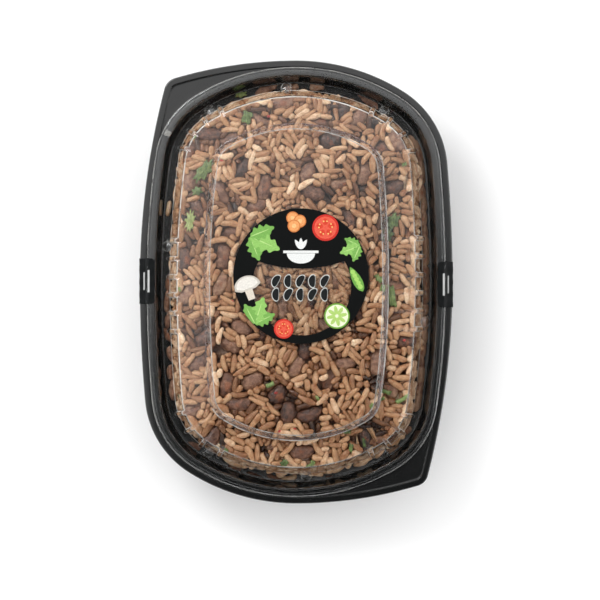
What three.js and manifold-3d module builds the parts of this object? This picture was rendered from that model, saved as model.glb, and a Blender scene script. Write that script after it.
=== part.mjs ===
// A shut retail pack of rice and beans: a black thermoformed tray with two corner tabs, a clear
// snap-on lid with a domed top, the rice and beans inside it, a round label and two edge seals.
// Millimetres. +Z is up, +Y runs along the pack's length, and the origin is under its middle.
//
// Every level of the tray and the lid is one oval ring of three arcs a quadrant. A level is
// written as [inset, height, outline]: how far it lies inside the outer edge, how high it is,
// and whether it follows the body's oval or the edge with the tabs.
import * as THREE from "three";
import { mergeVertices } from "three/addons/utils/BufferGeometryUtils.js";
import Module from "manifold-3d";

const wasm = await Module();
wasm.setup();

// ---- driving dimensions ----
const HALF_WIDTH = 75;
const HALF_LENGTH = 106.2;
const RIM = 30; // height of the tray's rim
const TRAY_WALL = 0.7;
const LID_WALL = 0.6;
const GAP = 0.35; // between pieces that touch
const SHELF = RIM - 6.5; // the tray's shelf round the food, under the lid's channel

// Arc radii of one quadrant at the outer edge, and how many facets each arc has.
const PLAIN_CORNER = { side: 648, end: 96.5, corner: 45.5, facets: [2, 7, 4] };
const BODY_UNDER_TAB = { side: 440, end: 96, corner: 44, facets: [3, 6, 4] };
const TAB_CORNER = { side: 370, end: 205, corner: 7, facets: [5, 4, 4] };

// The dome's levels above the rim.
const CHANNEL = -3.9;
const KNEE = { inset: 14.6, height: 1.6 };
const SHOULDER = { inset: 18.6, height: 13.8 };
const PANEL_FOOT = { inset: 31.6, height: 15.0 };
const PANEL = { inset: 34.4, height: 18.6 };

const LABEL = { x: 2.2, y: 2.8, radius: 31.75, thickness: 0.25 };
const SEAL = { length: 21.8, thickness: 0.3, leftY: 0.4, rightY: -1.2 };

const RIB_PITCH = 8.7;
const RIB_COUNT = 6; // on each long side
const RIB_SHIFT = { left: -1.9, right: -0.8 }; // of the group's middle along Y
const CORNER_RIB_ANGLES = [19, 36.5, 54, 71.5];
const BUMP = { radius: 2.65, top: 2.2, height: 1.6, inset: 12.7, cornerAngle: 62.75 };
const BUMP_AT = { endX: 4.8, leftY: 17.1, rightY: -19.0 }; // the four that aren't at corners

const BEAN = { length: 12, width: 7.6, depth: 6.4 };
const GRAIN = { length: 8.6, width: 2.4 };
const LUMP_PITCH = 4.2; // the heap's relief: lumps of about a grain's size
const LUMP_DEPTH = 1.7;
const GRAIN_COUNT = 23;
// Where the beans lie thickest: centre, spread and how many.
const BEAN_CLUSTERS = [
  { x: -40, y: 52, spread: 15, count: 7 },
  { x: -6, y: 66, spread: 18, count: 5 },
  { x: 36, y: 54, spread: 14, count: 4 },
  { x: -38, y: -4, spread: 16, count: 4 },
  { x: -30, y: -66, spread: 14, count: 4 },
  { x: 26, y: -58, spread: 20, count: 3 },
];

// ---- seeded random numbers ----
function makeRandom(seed) {
  let state = seed >>> 0;
  return () => {
    state = (Math.imul(state, 1664525) + 1013904223) >>> 0;
    return state / 4294967296;
  };
}

// ---- the oval ----
// Centres and end angles of a quadrant's three arcs, in the +X +Y quadrant.
function quadrantArcs({ side, end, corner, facets }) {
  const sideX = HALF_WIDTH - side;
  const endY = HALF_LENGTH - end;
  const gap = Math.hypot(sideX, endY);
  const toSide = side - corner;
  const toEnd = end - corner;
  const along = (gap * gap + toSide * toSide - toEnd * toEnd) / (2 * gap);
  const across = Math.sqrt(toSide * toSide - along * along);
  const ux = -sideX / gap;
  const uy = endY / gap;
  const x = sideX + ux * along + uy * across;
  const y = uy * along - ux * across;
  const other = { x: sideX + ux * along - uy * across, y: uy * along + ux * across };
  const centre = x + y > other.x + other.y ? { x, y } : other;
  return {
    side: { x: sideX, y: 0, r: side },
    corner: { ...centre, r: corner },
    end: { x: 0, y: endY, r: end },
    first: Math.atan2(centre.y, centre.x - sideX),
    second: Math.atan2(centre.y - endY, centre.x),
    facets,
  };
}

const plainArcs = quadrantArcs(PLAIN_CORNER);
const bodyTabArcs = quadrantArcs(BODY_UNDER_TAB);
const edgeTabArcs = quadrantArcs(TAB_CORNER);

// The points of one quadrant from its side to its end, each with its outward normal.
function quadrantPoints(arcs) {
  const points = [];
  const run = (arc, from, to, steps) => {
    for (let i = 0; i < steps; i++) {
      const angle = from + ((to - from) * i) / steps;
      const nx = Math.cos(angle);
      const ny = Math.sin(angle);
      points.push({ x: arc.x + arc.r * nx, y: arc.y + arc.r * ny, nx, ny });
    }
  };
  run(arcs.side, 0, arcs.first, arcs.facets[0]);
  run(arcs.corner, arcs.first, arcs.second, arcs.facets[1]);
  run(arcs.end, arcs.second, Math.PI / 2, arcs.facets[2]);
  points.push({ x: 0, y: HALF_LENGTH, nx: 0, ny: 1 });
  return points;
}

// The whole ring, counter-clockwise. The tabs are at the -X +Y and the +X -Y corners.
function ringPoints(tabArcs) {
  const plain = quadrantPoints(plainArcs);
  const tab = quadrantPoints(tabArcs);
  const place = (p, sx, sy) => ({ x: p.x * sx, y: p.y * sy, nx: p.nx * sx, ny: p.ny * sy });
  const forward = (list, sx, sy) => list.slice(0, -1).map((p) => place(p, sx, sy));
  const backward = (list, sx, sy) => list.slice(1).reverse().map((p) => place(p, sx, sy));
  return [
    ...forward(plain, 1, 1),
    ...backward(tab, -1, 1),
    ...forward(plain, -1, -1),
    ...backward(tab, 1, -1),
  ];
}

const bodyRing = ringPoints(bodyTabArcs);
const edgeRing = ringPoints(edgeTabArcs);

// How far a point lies inside the body's oval, and which way is out.
function locate(x, y) {
  const sx = x < 0 ? -1 : 1;
  const sy = y < 0 ? -1 : 1;
  const arcs = sx * sy > 0 ? plainArcs : bodyTabArcs;
  const px = Math.abs(x);
  const py = Math.abs(y);
  const inset = (arc) => arc.r - Math.hypot(px - arc.x, py - arc.y);
  const turn = Math.atan2(py - arcs.corner.y, px - arcs.corner.x);
  let arc = inset(arcs.side) < inset(arcs.end) ? arcs.side : arcs.end;
  if (turn > arcs.first && turn < arcs.second) arc = arcs.corner;
  const reach = Math.hypot(px - arc.x, py - arc.y);
  return { inset: arc.r - reach, nx: (sx * (px - arc.x)) / reach, ny: (sy * (py - arc.y)) / reach };
}

// The point at a given inset that lies straight out from (x, y).
function onRing(x, y, inset) {
  const here = locate(x, y);
  const step = here.inset - inset;
  return { x: x + here.nx * step, y: y + here.ny * step, nx: here.nx, ny: here.ny };
}

// ---- meshes ----
function geometryOf(vertices, triangles) {
  const geometry = new THREE.BufferGeometry();
  geometry.setAttribute("position", new THREE.Float32BufferAttribute(vertices.flat(), 3));
  geometry.setIndex(triangles.flat());
  return geometry;
}

function solidOf(geometry) {
  const bare = geometry.clone();
  bare.deleteAttribute("normal");
  bare.deleteAttribute("uv");
  const merged = mergeVertices(bare, 1e-4);
  const mesh = new wasm.Mesh({
    numProp: 3,
    vertProperties: new Float32Array(merged.attributes.position.array),
    triVerts: new Uint32Array(merged.index.array),
  });
  return new wasm.Manifold(mesh);
}

// The outer body alone, so that a hollow sealed by fusing is filled and a scrap is dropped.
function geometryOfSolid(solid) {
  const bodies = solid.decompose().sort((a, b) => b.volume() - a.volume());
  const mesh = bodies[0].getMesh();
  const geometry = new THREE.BufferGeometry();
  geometry.setAttribute("position", new THREE.BufferAttribute(mesh.vertProperties.slice(), 3));
  geometry.setIndex(new THREE.BufferAttribute(mesh.triVerts.slice(), 1));
  return geometry;
}

// The other face of a wall whose first face runs through these levels, edge to middle.
function thicken(levels, wall) {
  const direction = (a, b) => {
    const length = Math.hypot(b[0] - a[0], b[1] - a[1]);
    return [(b[0] - a[0]) / length, (b[1] - a[1]) / length];
  };
  return levels.map((level, i) => {
    const after = i < levels.length - 1 ? direction(level, levels[i + 1]) : [1, 0];
    const before = i > 0 ? direction(levels[i - 1], level) : after;
    const mitre = wall / (1 + before[0] * after[0] + before[1] * after[1]);
    const inset = level[0] + (before[1] + after[1]) * mitre;
    const height = level[1] - (before[0] + after[0]) * mitre;
    return [inset, height, level[2]];
  });
}

// A closed body through a run of levels, from the middle of its top to the middle of its foot.
function sweep(levels) {
  const count = bodyRing.length;
  const vertices = [[0, 0, levels[0][1]]];
  for (const [inset, height, ring = bodyRing] of levels) {
    for (const p of ring) vertices.push([p.x - p.nx * inset, p.y - p.ny * inset, height]);
  }
  const foot = vertices.length;
  vertices.push([0, 0, levels[levels.length - 1][1]]);
  const at = (level, i) => 1 + level * count + (i % count);
  const triangles = [];
  const last = levels.length - 1;
  for (let i = 0; i < count; i++) {
    triangles.push([0, at(0, i), at(0, i + 1)], [foot, at(last, i + 1), at(last, i)]);
    for (let level = 0; level < last; level++) {
      const [a, b] = [at(level, i), at(level + 1, i)];
      const [c, d] = [at(level + 1, i + 1), at(level, i + 1)];
      triangles.push([a, b, c], [a, c, d]);
    }
  }
  return geometryOf(vertices, triangles);
}

function shell(face, wall) {
  return sweep([...face].reverse().concat(thicken(face, wall)));
}

function named(name, geometry, color, roughness, extra = {}) {
  const material = new THREE.MeshStandardMaterial({ color, roughness, metalness: 0, ...extra });
  const mesh = new THREE.Mesh(geometry, material);
  mesh.name = name;
  return mesh;
}

// ---- tray ----
// From the lip's lower edge over the rim and the snap bead, to the shelf, the wall and the base.
const trayFace = [
  [0, RIM - 3.4, edgeRing],
  [0, RIM - 0.9, edgeRing],
  [0.9, RIM, edgeRing],
  [2.2, RIM, edgeRing],
  [2.7, RIM - 0.6, edgeRing],
  [4.3, RIM - 0.6],
  [4.9, RIM + 1.9],
  [6.9, RIM + 1.9],
  [7.6, RIM + 0.7],
  [9.5, SHELF],
  [14.8, SHELF - 0.3],
  [17.6, 7],
  [19.4, 3.2],
  [23.0, TRAY_WALL],
  [27.0, TRAY_WALL],
  [28.2, TRAY_WALL + 1],
];

// ---- lid ----
// From the skirt's lower edge over the rim, down the plug, up the dome and on to the raised panel.
const lidFace = [
  [3.35, RIM - 0.1],
  [3.5, RIM + 2.1],
  [4.3, RIM + 2.9],
  [7.4, RIM + 2.9],
  [8.2, RIM + 2.3],
  [9.7, RIM - 3.6],
  [10.5, RIM + CHANNEL],
  [11.2, RIM - 3.5],
  [KNEE.inset, RIM + KNEE.height],
  [SHOULDER.inset - 0.5, RIM + SHOULDER.height - 0.8],
  [SHOULDER.inset + 0.5, RIM + SHOULDER.height + 0.1],
  [PANEL_FOOT.inset, RIM + PANEL_FOOT.height],
  [PANEL.inset - 0.5, RIM + PANEL.height - 0.3],
  [PANEL.inset + 0.3, RIM + PANEL.height],
];

const SLOPE_FOOT = 7; // the level at the foot of the slope from the channel up to the knee

// A stiffening rib on the dome's wall: a narrow finger, deep at its foot and fading at the shoulder.
function rib(x, y) {
  const section = [[-1, 0], [-0.6, 0.92], [0.6, 0.92], [1, 0]];
  const ends = [
    { half: 1.15, back: [KNEE.inset - 0.1, RIM + 0.7], front: [12.8, RIM - 1.5] },
    { half: 1.3, back: [SHOULDER.inset - 0.3, RIM + 12.4], front: [17.2, RIM + 12.6] },
  ];
  const base = onRing(x, y, 0);
  const vertices = [];
  for (const { half, back, front } of ends) {
    for (const [across, out] of section) {
      const inset = back[0] + (front[0] - back[0]) * out;
      const px = base.x - base.nx * inset - base.ny * half * across;
      const py = base.y - base.ny * inset + base.nx * half * across;
      vertices.push([px, py, back[1] + (front[1] - back[1]) * out]);
    }
  }
  const n = section.length;
  const triangles = [];
  for (let i = 0; i < n; i++) {
    const j = (i + 1) % n;
    triangles.push([i, i + n, j + n], [i, j + n, j]);
    if (i > 0 && i < n - 1) triangles.push([0, i, i + 1], [n, n + i + 1, n + i]);
  }
  return geometryOf(vertices, triangles);
}

// A round bump with a flat top on the slope below the knee, which keeps stacked lids apart.
function bump(x, y) {
  const place = onRing(x, y, BUMP.inset);
  const profile = [[0, 0], [BUMP.radius, 0], [BUMP.top, BUMP.height], [0, BUMP.height]];
  const dome = new THREE.LatheGeometry(profile.map(([r, h]) => new THREE.Vector2(r, h)), 8);
  const [foot, knee] = [lidFace[SLOPE_FOOT], lidFace[SLOPE_FOOT + 1]];
  const steepness = (knee[1] - foot[1]) / (knee[0] - foot[0]);
  const out = new THREE.Vector3(place.nx * steepness, place.ny * steepness, 1).normalize();
  dome.applyQuaternion(new THREE.Quaternion().setFromUnitVectors(new THREE.Vector3(0, 1, 0), out));
  const height = foot[1] + (BUMP.inset - foot[0]) * steepness;
  const centre = new THREE.Vector3(place.x, place.y, height).addScaledVector(out, -LID_WALL / 2);
  dome.translate(centre.x, centre.y, centre.z);
  return dome;
}

// A spot near a corner, at an angle round the centre of the corner's arc.
function cornerSpot(sx, sy, degrees) {
  const { corner } = sx * sy > 0 ? plainArcs : bodyTabArcs;
  const angle = THREE.MathUtils.degToRad(degrees);
  const reach = corner.r - BUMP.inset;
  return [sx * (corner.x + reach * Math.cos(angle)), sy * (corner.y + reach * Math.sin(angle))];
}

function lidGeometry() {
  const corners = [[1, 1], [-1, 1], [-1, -1], [1, -1]];
  const ribs = corners.flatMap(([sx, sy]) =>
    CORNER_RIB_ANGLES.map((degrees) => cornerSpot(sx, sy, degrees)));
  const bumps = corners.map(([sx, sy]) => cornerSpot(sx, sy, BUMP.cornerAngle));
  const atSide = HALF_WIDTH - BUMP.inset;
  const atEnd = HALF_LENGTH - BUMP.inset;
  for (const [side, shift] of [[-1, RIB_SHIFT.left], [1, RIB_SHIFT.right]]) {
    for (let i = 0; i < RIB_COUNT; i++) {
      ribs.push([side * atSide, shift + (i - (RIB_COUNT - 1) / 2) * RIB_PITCH]);
    }
  }
  bumps.push([-atSide, BUMP_AT.leftY], [atSide, BUMP_AT.rightY]);
  bumps.push([-BUMP_AT.endX, atEnd], [BUMP_AT.endX, -atEnd]);
  let lid = solidOf(shell(lidFace, LID_WALL));
  for (const [x, y] of ribs) lid = lid.add(solidOf(rib(x, y)));
  for (const [x, y] of bumps) lid = lid.add(solidOf(bump(x, y)));
  return geometryOfSolid(lid);
}

// ---- rice and beans ----
// Height of the lid's inner face at an inset, less the gap to it.
const lidUnderside = thicken(lidFace, LID_WALL);
function ceiling(inset) {
  for (let i = lidUnderside.length - 1; i > 0; i--) {
    const [d0, z0] = lidUnderside[i - 1];
    const [d1, z1] = lidUnderside[i];
    if (inset >= d1) return z1 - GAP;
    if (inset >= d0) return z0 + ((z1 - z0) * (inset - d0)) / (d1 - d0) - GAP;
  }
  return RIM + CHANNEL;
}

// The lowest ceiling within a reach of (x, y).
function room(x, y, reach) {
  let lowest = ceiling(locate(x, y).inset);
  for (let i = 0; i < 8; i++) {
    const angle = (i * Math.PI) / 4;
    const spot = locate(x + reach * Math.cos(angle), y + reach * Math.sin(angle));
    lowest = Math.min(lowest, ceiling(spot.inset));
  }
  return lowest;
}

// The heap's levels down its loose edge, where it stops at the shelf and where it spills on to it.
const HEAP_TOP_INSET = SHOULDER.inset + 2;
const heapSlope = [
  { kept: [SHOULDER.inset + 0.8, RIM + 10.0], spilled: [SHOULDER.inset + 0.8, RIM + 10.0] },
  { kept: [17.4, RIM + 4.8], spilled: [17.2, RIM + 4.2] },
  { kept: [16.0, RIM - 1.0], spilled: [13.6, RIM - 2.3] },
  { kept: [15.5, SHELF + 1.0], spilled: [12.0, SHELF + 1.0] },
];
// The levels of its side in the tray, from the shelf down.
const heapSide = [
  [15.1, SHELF + 0.4],
  [15.8, SHELF - 1.8],
  [18.2, 7.4],
  [20.2, 4.0],
  [24.1, TRAY_WALL + 1 + GAP],
];
// Where the heap spills: the right side, and a few places round the upper end.
const SPILLS = [
  { x: 60, y: 5, reach: 66 },
  { x: -9, y: 94, reach: 13 },
  { x: 34, y: 87, reach: 8 },
  { x: -30, y: -90, reach: 6 },
];

// How far the heap spills at (x, y), from 0 to 1.
function spill(x, y) {
  const shares = SPILLS.map((s) => 1.5 - Math.hypot(x - s.x, y - s.y) / s.reach / 0.9);
  return THREE.MathUtils.clamp(2 * Math.max(...shares), 0, 1);
}

// Joins two runs of points that follow one another side by side, with the first run below.
function zip(first, second, triangles) {
  let i = 0;
  let j = 0;
  while (i < first.length - 1 || j < second.length - 1) {
    const nextFirst = (i + 1) / (first.length - 1 || 1);
    const nextSecond = (j + 1) / (second.length - 1 || 1);
    if (j === second.length - 1 || (i < first.length - 1 && nextFirst <= nextSecond)) {
      triangles.push([first[i], first[i + 1], second[j]]);
      i++;
    } else {
      triangles.push([first[i], second[j + 1], second[j]]);
      j++;
    }
  }
}

// Where the row at height y leaves the ring at an inset, to the left (-1) or the right (1).
function rowEnd(y, inset, side) {
  let inner = 0;
  let outer = HALF_WIDTH;
  for (let i = 0; i < 40; i++) {
    const middle = (inner + outer) / 2;
    if (locate(side * middle, y).inset > inset) inner = middle;
    else outer = middle;
  }
  return side * inner;
}

// The heap without its beans: rows of bumps over the top, and rings of them down the slope.
function heapCore(random) {
  const vertices = [];
  const triangles = [];
  const add = (x, y, z) => vertices.push([x, y, z]) - 1;
  const rough = () => LUMP_DEPTH * random();

  const reach = HALF_LENGTH - HEAP_TOP_INSET - 1;
  const rowCount = Math.round((2 * reach) / (LUMP_PITCH * 0.87)) + 1;
  const rows = [];
  for (let r = 0; r < rowCount; r++) {
    const y = -reach + (2 * reach * r) / (rowCount - 1);
    const left = rowEnd(y, HEAP_TOP_INSET, -1);
    const right = rowEnd(y, HEAP_TOP_INSET, 1);
    const count = Math.max(3, Math.round((right - left) / LUMP_PITCH));
    const row = [];
    for (let i = 0; i <= count; i++) {
      const edge = i === 0 || i === count || r === 0 || r === rowCount - 1;
      const shift = edge || r % 2 ? 0 : 0.4;
      const x = left + ((right - left) * (i + shift)) / count;
      const z = room(x, y, LUMP_PITCH * 1.1) - 0.2 - rough();
      row.push(add(Math.min(x, right), y, z));
    }
    rows.push(row);
  }
  for (let r = 0; r < rowCount - 1; r++) zip(rows[r], rows[r + 1], triangles);

  const leftEnds = rows.slice(1, -1).map((row) => row[0]).reverse();
  const rightEnds = rows.slice(1, -1).map((row) => row[row.length - 1]);
  let loop = [...rows[0], ...rightEnds, ...[...rows[rowCount - 1]].reverse(), ...leftEnds];
  for (const { kept, spilled } of heapSlope) {
    const loose = kept[1] > SHELF + 2;
    const next = loop.map((index) => {
      const [x, y] = vertices[index];
      const share = spill(x, y);
      const inset = kept[0] + (spilled[0] - kept[0]) * share;
      const height = kept[1] + (spilled[1] - kept[1]) * share;
      const p = onRing(x, y, inset + 0.6 * rough());
      return add(p.x, p.y, height - (loose ? 0.8 * rough() : 0));
    });
    for (let i = 0; i < loop.length; i++) {
      const j = (i + 1) % loop.length;
      triangles.push([next[i], next[j], loop[j]], [next[i], loop[j], loop[i]]);
    }
    loop = next;
  }

  // The smooth side below starts at the bodyRing's first point, on +X, so the loop does too.
  const turnOf = (index) => Math.atan2(vertices[index][1], vertices[index][0]);
  const positive = (angle) => (angle + 2 * Math.PI) % (2 * Math.PI);
  loop.sort((a, b) => positive(turnOf(a)) - positive(turnOf(b)));
  let upper = loop;
  for (const [inset, height] of heapSide) {
    const ring = bodyRing.map((p) => add(p.x - p.nx * inset, p.y - p.ny * inset, height));
    if (upper === loop) {
      zipByTurn(ring, upper, positive, turnOf, triangles);
    } else {
      for (let i = 0; i < ring.length; i++) {
        const j = (i + 1) % ring.length;
        triangles.push([ring[i], ring[j], upper[j]], [ring[i], upper[j], upper[i]]);
      }
    }
    upper = ring;
  }
  const foot = add(0, 0, heapSide[heapSide.length - 1][1]);
  upper.forEach((index, i) => triangles.push([foot, upper[(i + 1) % upper.length], index]));
  return geometryOf(vertices, triangles);
}

// Joins a lower closed ring to an upper one with another number of points, by their bearing.
function zipByTurn(lower, upper, positive, turnOf, triangles) {
  const bearings = (ring) => ring.map((index) => positive(turnOf(index)));
  const low = bearings(lower);
  const up = bearings(upper);
  let i = 0;
  let j = 0;
  while (i < lower.length || j < upper.length) {
    const nextLow = i < lower.length ? (low[i + 1] ?? low[0] + 2 * Math.PI) : Infinity;
    const nextUp = j < upper.length ? (up[j + 1] ?? up[0] + 2 * Math.PI) : Infinity;
    const a = lower[i % lower.length];
    const b = upper[j % upper.length];
    if (nextLow <= nextUp) {
      triangles.push([a, lower[(i + 1) % lower.length], b]);
      i++;
    } else {
      triangles.push([a, upper[(j + 1) % upper.length], b]);
      j++;
    }
  }
}

// A lathed seed with few sides: blunt ends, and bent a little about its middle.
function seed(length, width, depth, sides, rounds, bend) {
  const profile = [new THREE.Vector2(0, -length / 2)];
  for (let i = 1; i < rounds; i++) {
    const angle = (i / rounds) * Math.PI;
    profile.push(new THREE.Vector2((width / 2) * Math.sin(angle) ** 0.75, (-length / 2) * Math.cos(angle)));
  }
  profile.push(new THREE.Vector2(0, length / 2));
  const geometry = new THREE.LatheGeometry(profile, sides);
  geometry.scale(1, 1, depth / width);
  const position = geometry.attributes.position;
  for (let i = 0; i < position.count; i++) {
    const along = position.getY(i) / (length / 2);
    position.setX(i, position.getX(i) + bend * (0.5 - along * along));
  }
  return geometry;
}

// Lays a seed flat at (x, y), turned and tilted, with its top at a height.
function lay(geometry, x, y, top, turn, tilt) {
  geometry.rotateX(tilt);
  geometry.rotateZ(turn);
  geometry.computeBoundingBox();
  geometry.translate(x, y, top - geometry.boundingBox.max.z);
  return geometry;
}

function heapGeometry() {
  const random = makeRandom(20417);
  let heap = solidOf(heapCore(random));
  const taken = [];
  const clear = (x, y, reach) => {
    if (locate(x, y).inset < HEAP_TOP_INSET + reach * 0.55) return false;
    return taken.every((p) => Math.hypot(p.x - x, p.y - y) > (p.reach + reach) * 0.62);
  };
  for (const cluster of BEAN_CLUSTERS) {
    for (let placed = 0, tries = 0; placed < cluster.count && tries < 200; tries++) {
      const angle = 2 * Math.PI * random();
      const far = cluster.spread * Math.sqrt(random());
      const x = cluster.x + far * Math.cos(angle);
      const y = cluster.y + far * Math.sin(angle);
      const reach = BEAN.length / 2;
      if (!clear(x, y, reach)) continue;
      const bean = seed(BEAN.length, BEAN.width, BEAN.depth, 6, 4, 1.1);
      lay(bean, x, y, room(x, y, reach) - 0.1, 2 * Math.PI * random(), 0.3 * (random() - 0.5));
      heap = heap.add(solidOf(bean));
      taken.push({ x, y, reach });
      placed++;
    }
  }
  for (let placed = 0, tries = 0; placed < GRAIN_COUNT && tries < 2000; tries++) {
    const x = (2 * random() - 1) * HALF_WIDTH;
    const y = (2 * random() - 1) * HALF_LENGTH;
    const reach = GRAIN.length / 2;
    if (!clear(x, y, reach * 1.6)) continue;
    const grain = seed(GRAIN.length, GRAIN.width, GRAIN.width, 5, 3, 0.2);
    lay(grain, x, y, room(x, y, reach) - 0.1, 2 * Math.PI * random(), 0.16 * (random() - 0.5));
    heap = heap.add(solidOf(grain));
    taken.push({ x, y, reach: reach * 1.6 });
    placed++;
  }
  return geometryOfSolid(heap);
}

// ---- label and seals ----
function labelGeometry() {
  const disc = new THREE.CylinderGeometry(LABEL.radius, LABEL.radius, LABEL.thickness, 48);
  disc.rotateX(Math.PI / 2);
  return disc;
}

// A strip over the lid's rim and the tray's lip, in section from the lid's top to below the lip.
function sealGeometry() {
  const out = HALF_WIDTH;
  const inner = [
    [out - 7.6, RIM + 2.9 + GAP],
    [out - 4.2, RIM + 2.9 + GAP],
    [out - 3.0, RIM + 1.9],
    [out - 2.7, RIM + 0.9],
    [out - 0.6, RIM + GAP],
    [out + GAP, RIM - 0.8],
    [out + GAP, RIM - 4.4],
  ];
  const t = SEAL.thickness;
  const outer = inner.map(([x, z], i) => {
    const drop = i / (inner.length - 1);
    return [x + t * Math.min(1, 1.6 * drop), z + t * Math.max(0, 1 - drop * drop)];
  });
  const shape = new THREE.Shape(
    [...inner, ...outer.reverse()].map(([x, z]) => new THREE.Vector2(x, z)),
  );
  const strip = new THREE.ExtrudeGeometry(shape, { depth: SEAL.length, bevelEnabled: false, steps: 1 });
  strip.rotateX(Math.PI / 2);
  strip.translate(0, SEAL.length / 2, 0);
  return strip;
}

// ---- the pack ----
const pack = new THREE.Group();
pack.add(named("tray", shell(trayFace, TRAY_WALL), 0x1c1e1f, 0.35));
pack.add(named("rice_and_beans", heapGeometry(), 0xb98a63, 0.6));
pack.add(named("lid", lidGeometry(), 0xe8ecec, 0.08, { transparent: true, opacity: 0.25 }));

const label = named("label", labelGeometry(), 0x181a1b, 0.4);
label.position.set(LABEL.x, LABEL.y, RIM + PANEL.height + GAP + LABEL.thickness / 2);
pack.add(label);

const sealRight = named("seal_right", sealGeometry(), 0x151719, 0.45);
sealRight.position.y = SEAL.rightY;
pack.add(sealRight);
const sealLeft = named("seal_left", sealGeometry(), 0x151719, 0.45);
sealLeft.rotation.z = Math.PI;
sealLeft.position.y = SEAL.leftY;
pack.add(sealLeft);

export default pack;
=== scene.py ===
"""Looks of a shut pack of rice and beans: a black tray, a clear domed lid, the food pressed against
it, a round label and a seal over each long edge.

Every function works in millimetres in the frame's axes, and new_mesh turns them into metres.
Each level of the tray and the lid is one oval ring of three arcs a quadrant, as in the frame.
"""
import math
import bpy
import numpy as np
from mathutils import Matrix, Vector, geometry, noise


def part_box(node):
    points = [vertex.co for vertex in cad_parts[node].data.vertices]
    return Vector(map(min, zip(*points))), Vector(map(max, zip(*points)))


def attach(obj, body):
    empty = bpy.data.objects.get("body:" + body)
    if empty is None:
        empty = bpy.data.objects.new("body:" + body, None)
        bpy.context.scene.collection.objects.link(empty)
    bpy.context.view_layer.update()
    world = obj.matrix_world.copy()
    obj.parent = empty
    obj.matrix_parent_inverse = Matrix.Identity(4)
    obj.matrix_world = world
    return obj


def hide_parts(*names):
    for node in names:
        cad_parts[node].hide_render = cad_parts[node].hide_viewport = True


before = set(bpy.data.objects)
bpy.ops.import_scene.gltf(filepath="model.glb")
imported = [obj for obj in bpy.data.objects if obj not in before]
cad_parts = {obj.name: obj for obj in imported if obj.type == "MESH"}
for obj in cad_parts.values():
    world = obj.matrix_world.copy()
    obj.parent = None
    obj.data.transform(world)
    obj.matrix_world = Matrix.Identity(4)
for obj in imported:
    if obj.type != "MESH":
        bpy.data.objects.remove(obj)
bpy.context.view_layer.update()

MM = 0.001
SEED = 5
random = np.random.default_rng(SEED)
noise.seed_set(SEED)  # without it noise_vector gives other values in each run


def mm_box(node):
    """The lowest and highest corner of a CAD node's box."""
    return [np.array(corner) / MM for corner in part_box(node)]


# ---- sizes ----
BEAD_RISE = 1.9  # of the tray's snap bead above its rim
HALF_WIDTH, HALF_LENGTH, tray_top = mm_box("tray")[1]
RIM = tray_top - BEAD_RISE
TRAY_WALL = 0.6
LID_WALL = 0.4
SHELF = RIM - 6.5

PLAIN_CORNER = {"side": 648, "end": 96.5, "corner": 45.5}
BODY_UNDER_TAB = {"side": 440, "end": 96, "corner": 44}
TAB_CORNER = {"side": 370, "end": 205, "corner": 7}

CHANNEL = -3.9
CHANNEL_EDGE = 11.0  # the inset at which the lid rises again
KNEE = (14.6, RIM + 1.6)
SHOULDER = (18.7, RIM + 13.9)
PANEL_FOOT = (31.6, RIM + 15.0)
PANEL = (34.3, RIM + 18.6)

RIB_PITCH = 8.7
RIB_COUNT = 6
RIB_SHIFT = {-1: -1.9, 1: -0.8}
CORNER_RIB_ANGLES = (19, 36.5, 54, 71.5)
BUMP = {"radius": 2.65, "inset": 12.7, "angle": 62.75, "end_x": 4.8, "left_y": 17.1, "right_y": -19.0}
TICK = {"x": -60.5, "y": 71.0, "inset": 6, "half": 1.5, "rise": 0.45}

GRAIN = {"length": 8.2, "width": 2.85}
WHOLE_GRAINS = 1260
BROKEN_GRAINS = 780
BEAN = {"length": 12.0, "width": 7.8, "depth": 6.4}
BURIED_BEANS = 34
FOOD_DEPTH = 6.5  # of the loose grains over the core

# Beans that show: x, y, turn in degrees and how far below the lid.
BEANS = (
    (-41, 70, 0, 0.24), (-32, 67, 25, 0.78), (-25, 53.5, 60, 0.51), (-15, 44.5, 80, 0.24),
    (-19, 35.5, 12, 0.29), (-35, 42.5, -70, 0.78), (-47, 34, 100, 0.29), (-50, 48, 90, 0.69),
    (-6, 84.5, 15, 0.56), (-17, 76.5, -30, 0.69), (21.5, 80, 60, 0.6), (28.5, 77, 40, 0.96),
    (5, 51, 60, 0.78), (8, 42, -20, 0.33), (21.5, 47, 20, 0.78), (32, 51, 70, 0.51),
    (45.5, 44.5, 20, 0.29), (47, 66.5, -60, 0.69), (-52.5, 10.5, 90, 0.38), (-34.5, 11.5, 80, 0.33),
    (-35.5, -1, 70, 0.29), (-43.5, -26.5, 40, 0.29), (-25.5, -21.5, -30, 0.6), (-27.5, -57, 0, 0.29),
    (-9, -53, 45, 0.29), (-4, -61.5, 80, 0.29), (0, -40, 60, 0.56), (6.5, -62, 20, 0.38),
    (-39.5, -72.5, 60, 0.24), (2.5, -80, 0, 0.51), (42.5, -73, 10, 0.42), (32.5, -74, 90, 0.42),
    (47, -1.5, -10, 0.46), (51.5, -28, 10, 0.83), (-6.5, -12.5, 90, 0.38), (-33, -48.5, 80, 0.56),
    (-50, 61, 80, 0.83), (40.5, 63.5, 10, 0.96), (-20.5, -46.5, 30, 0.69), (16, 66, -10, 0.87),
    (23, -38, 0, 0.87), (-51.5, -6, 60, 0.78),
)
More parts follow.
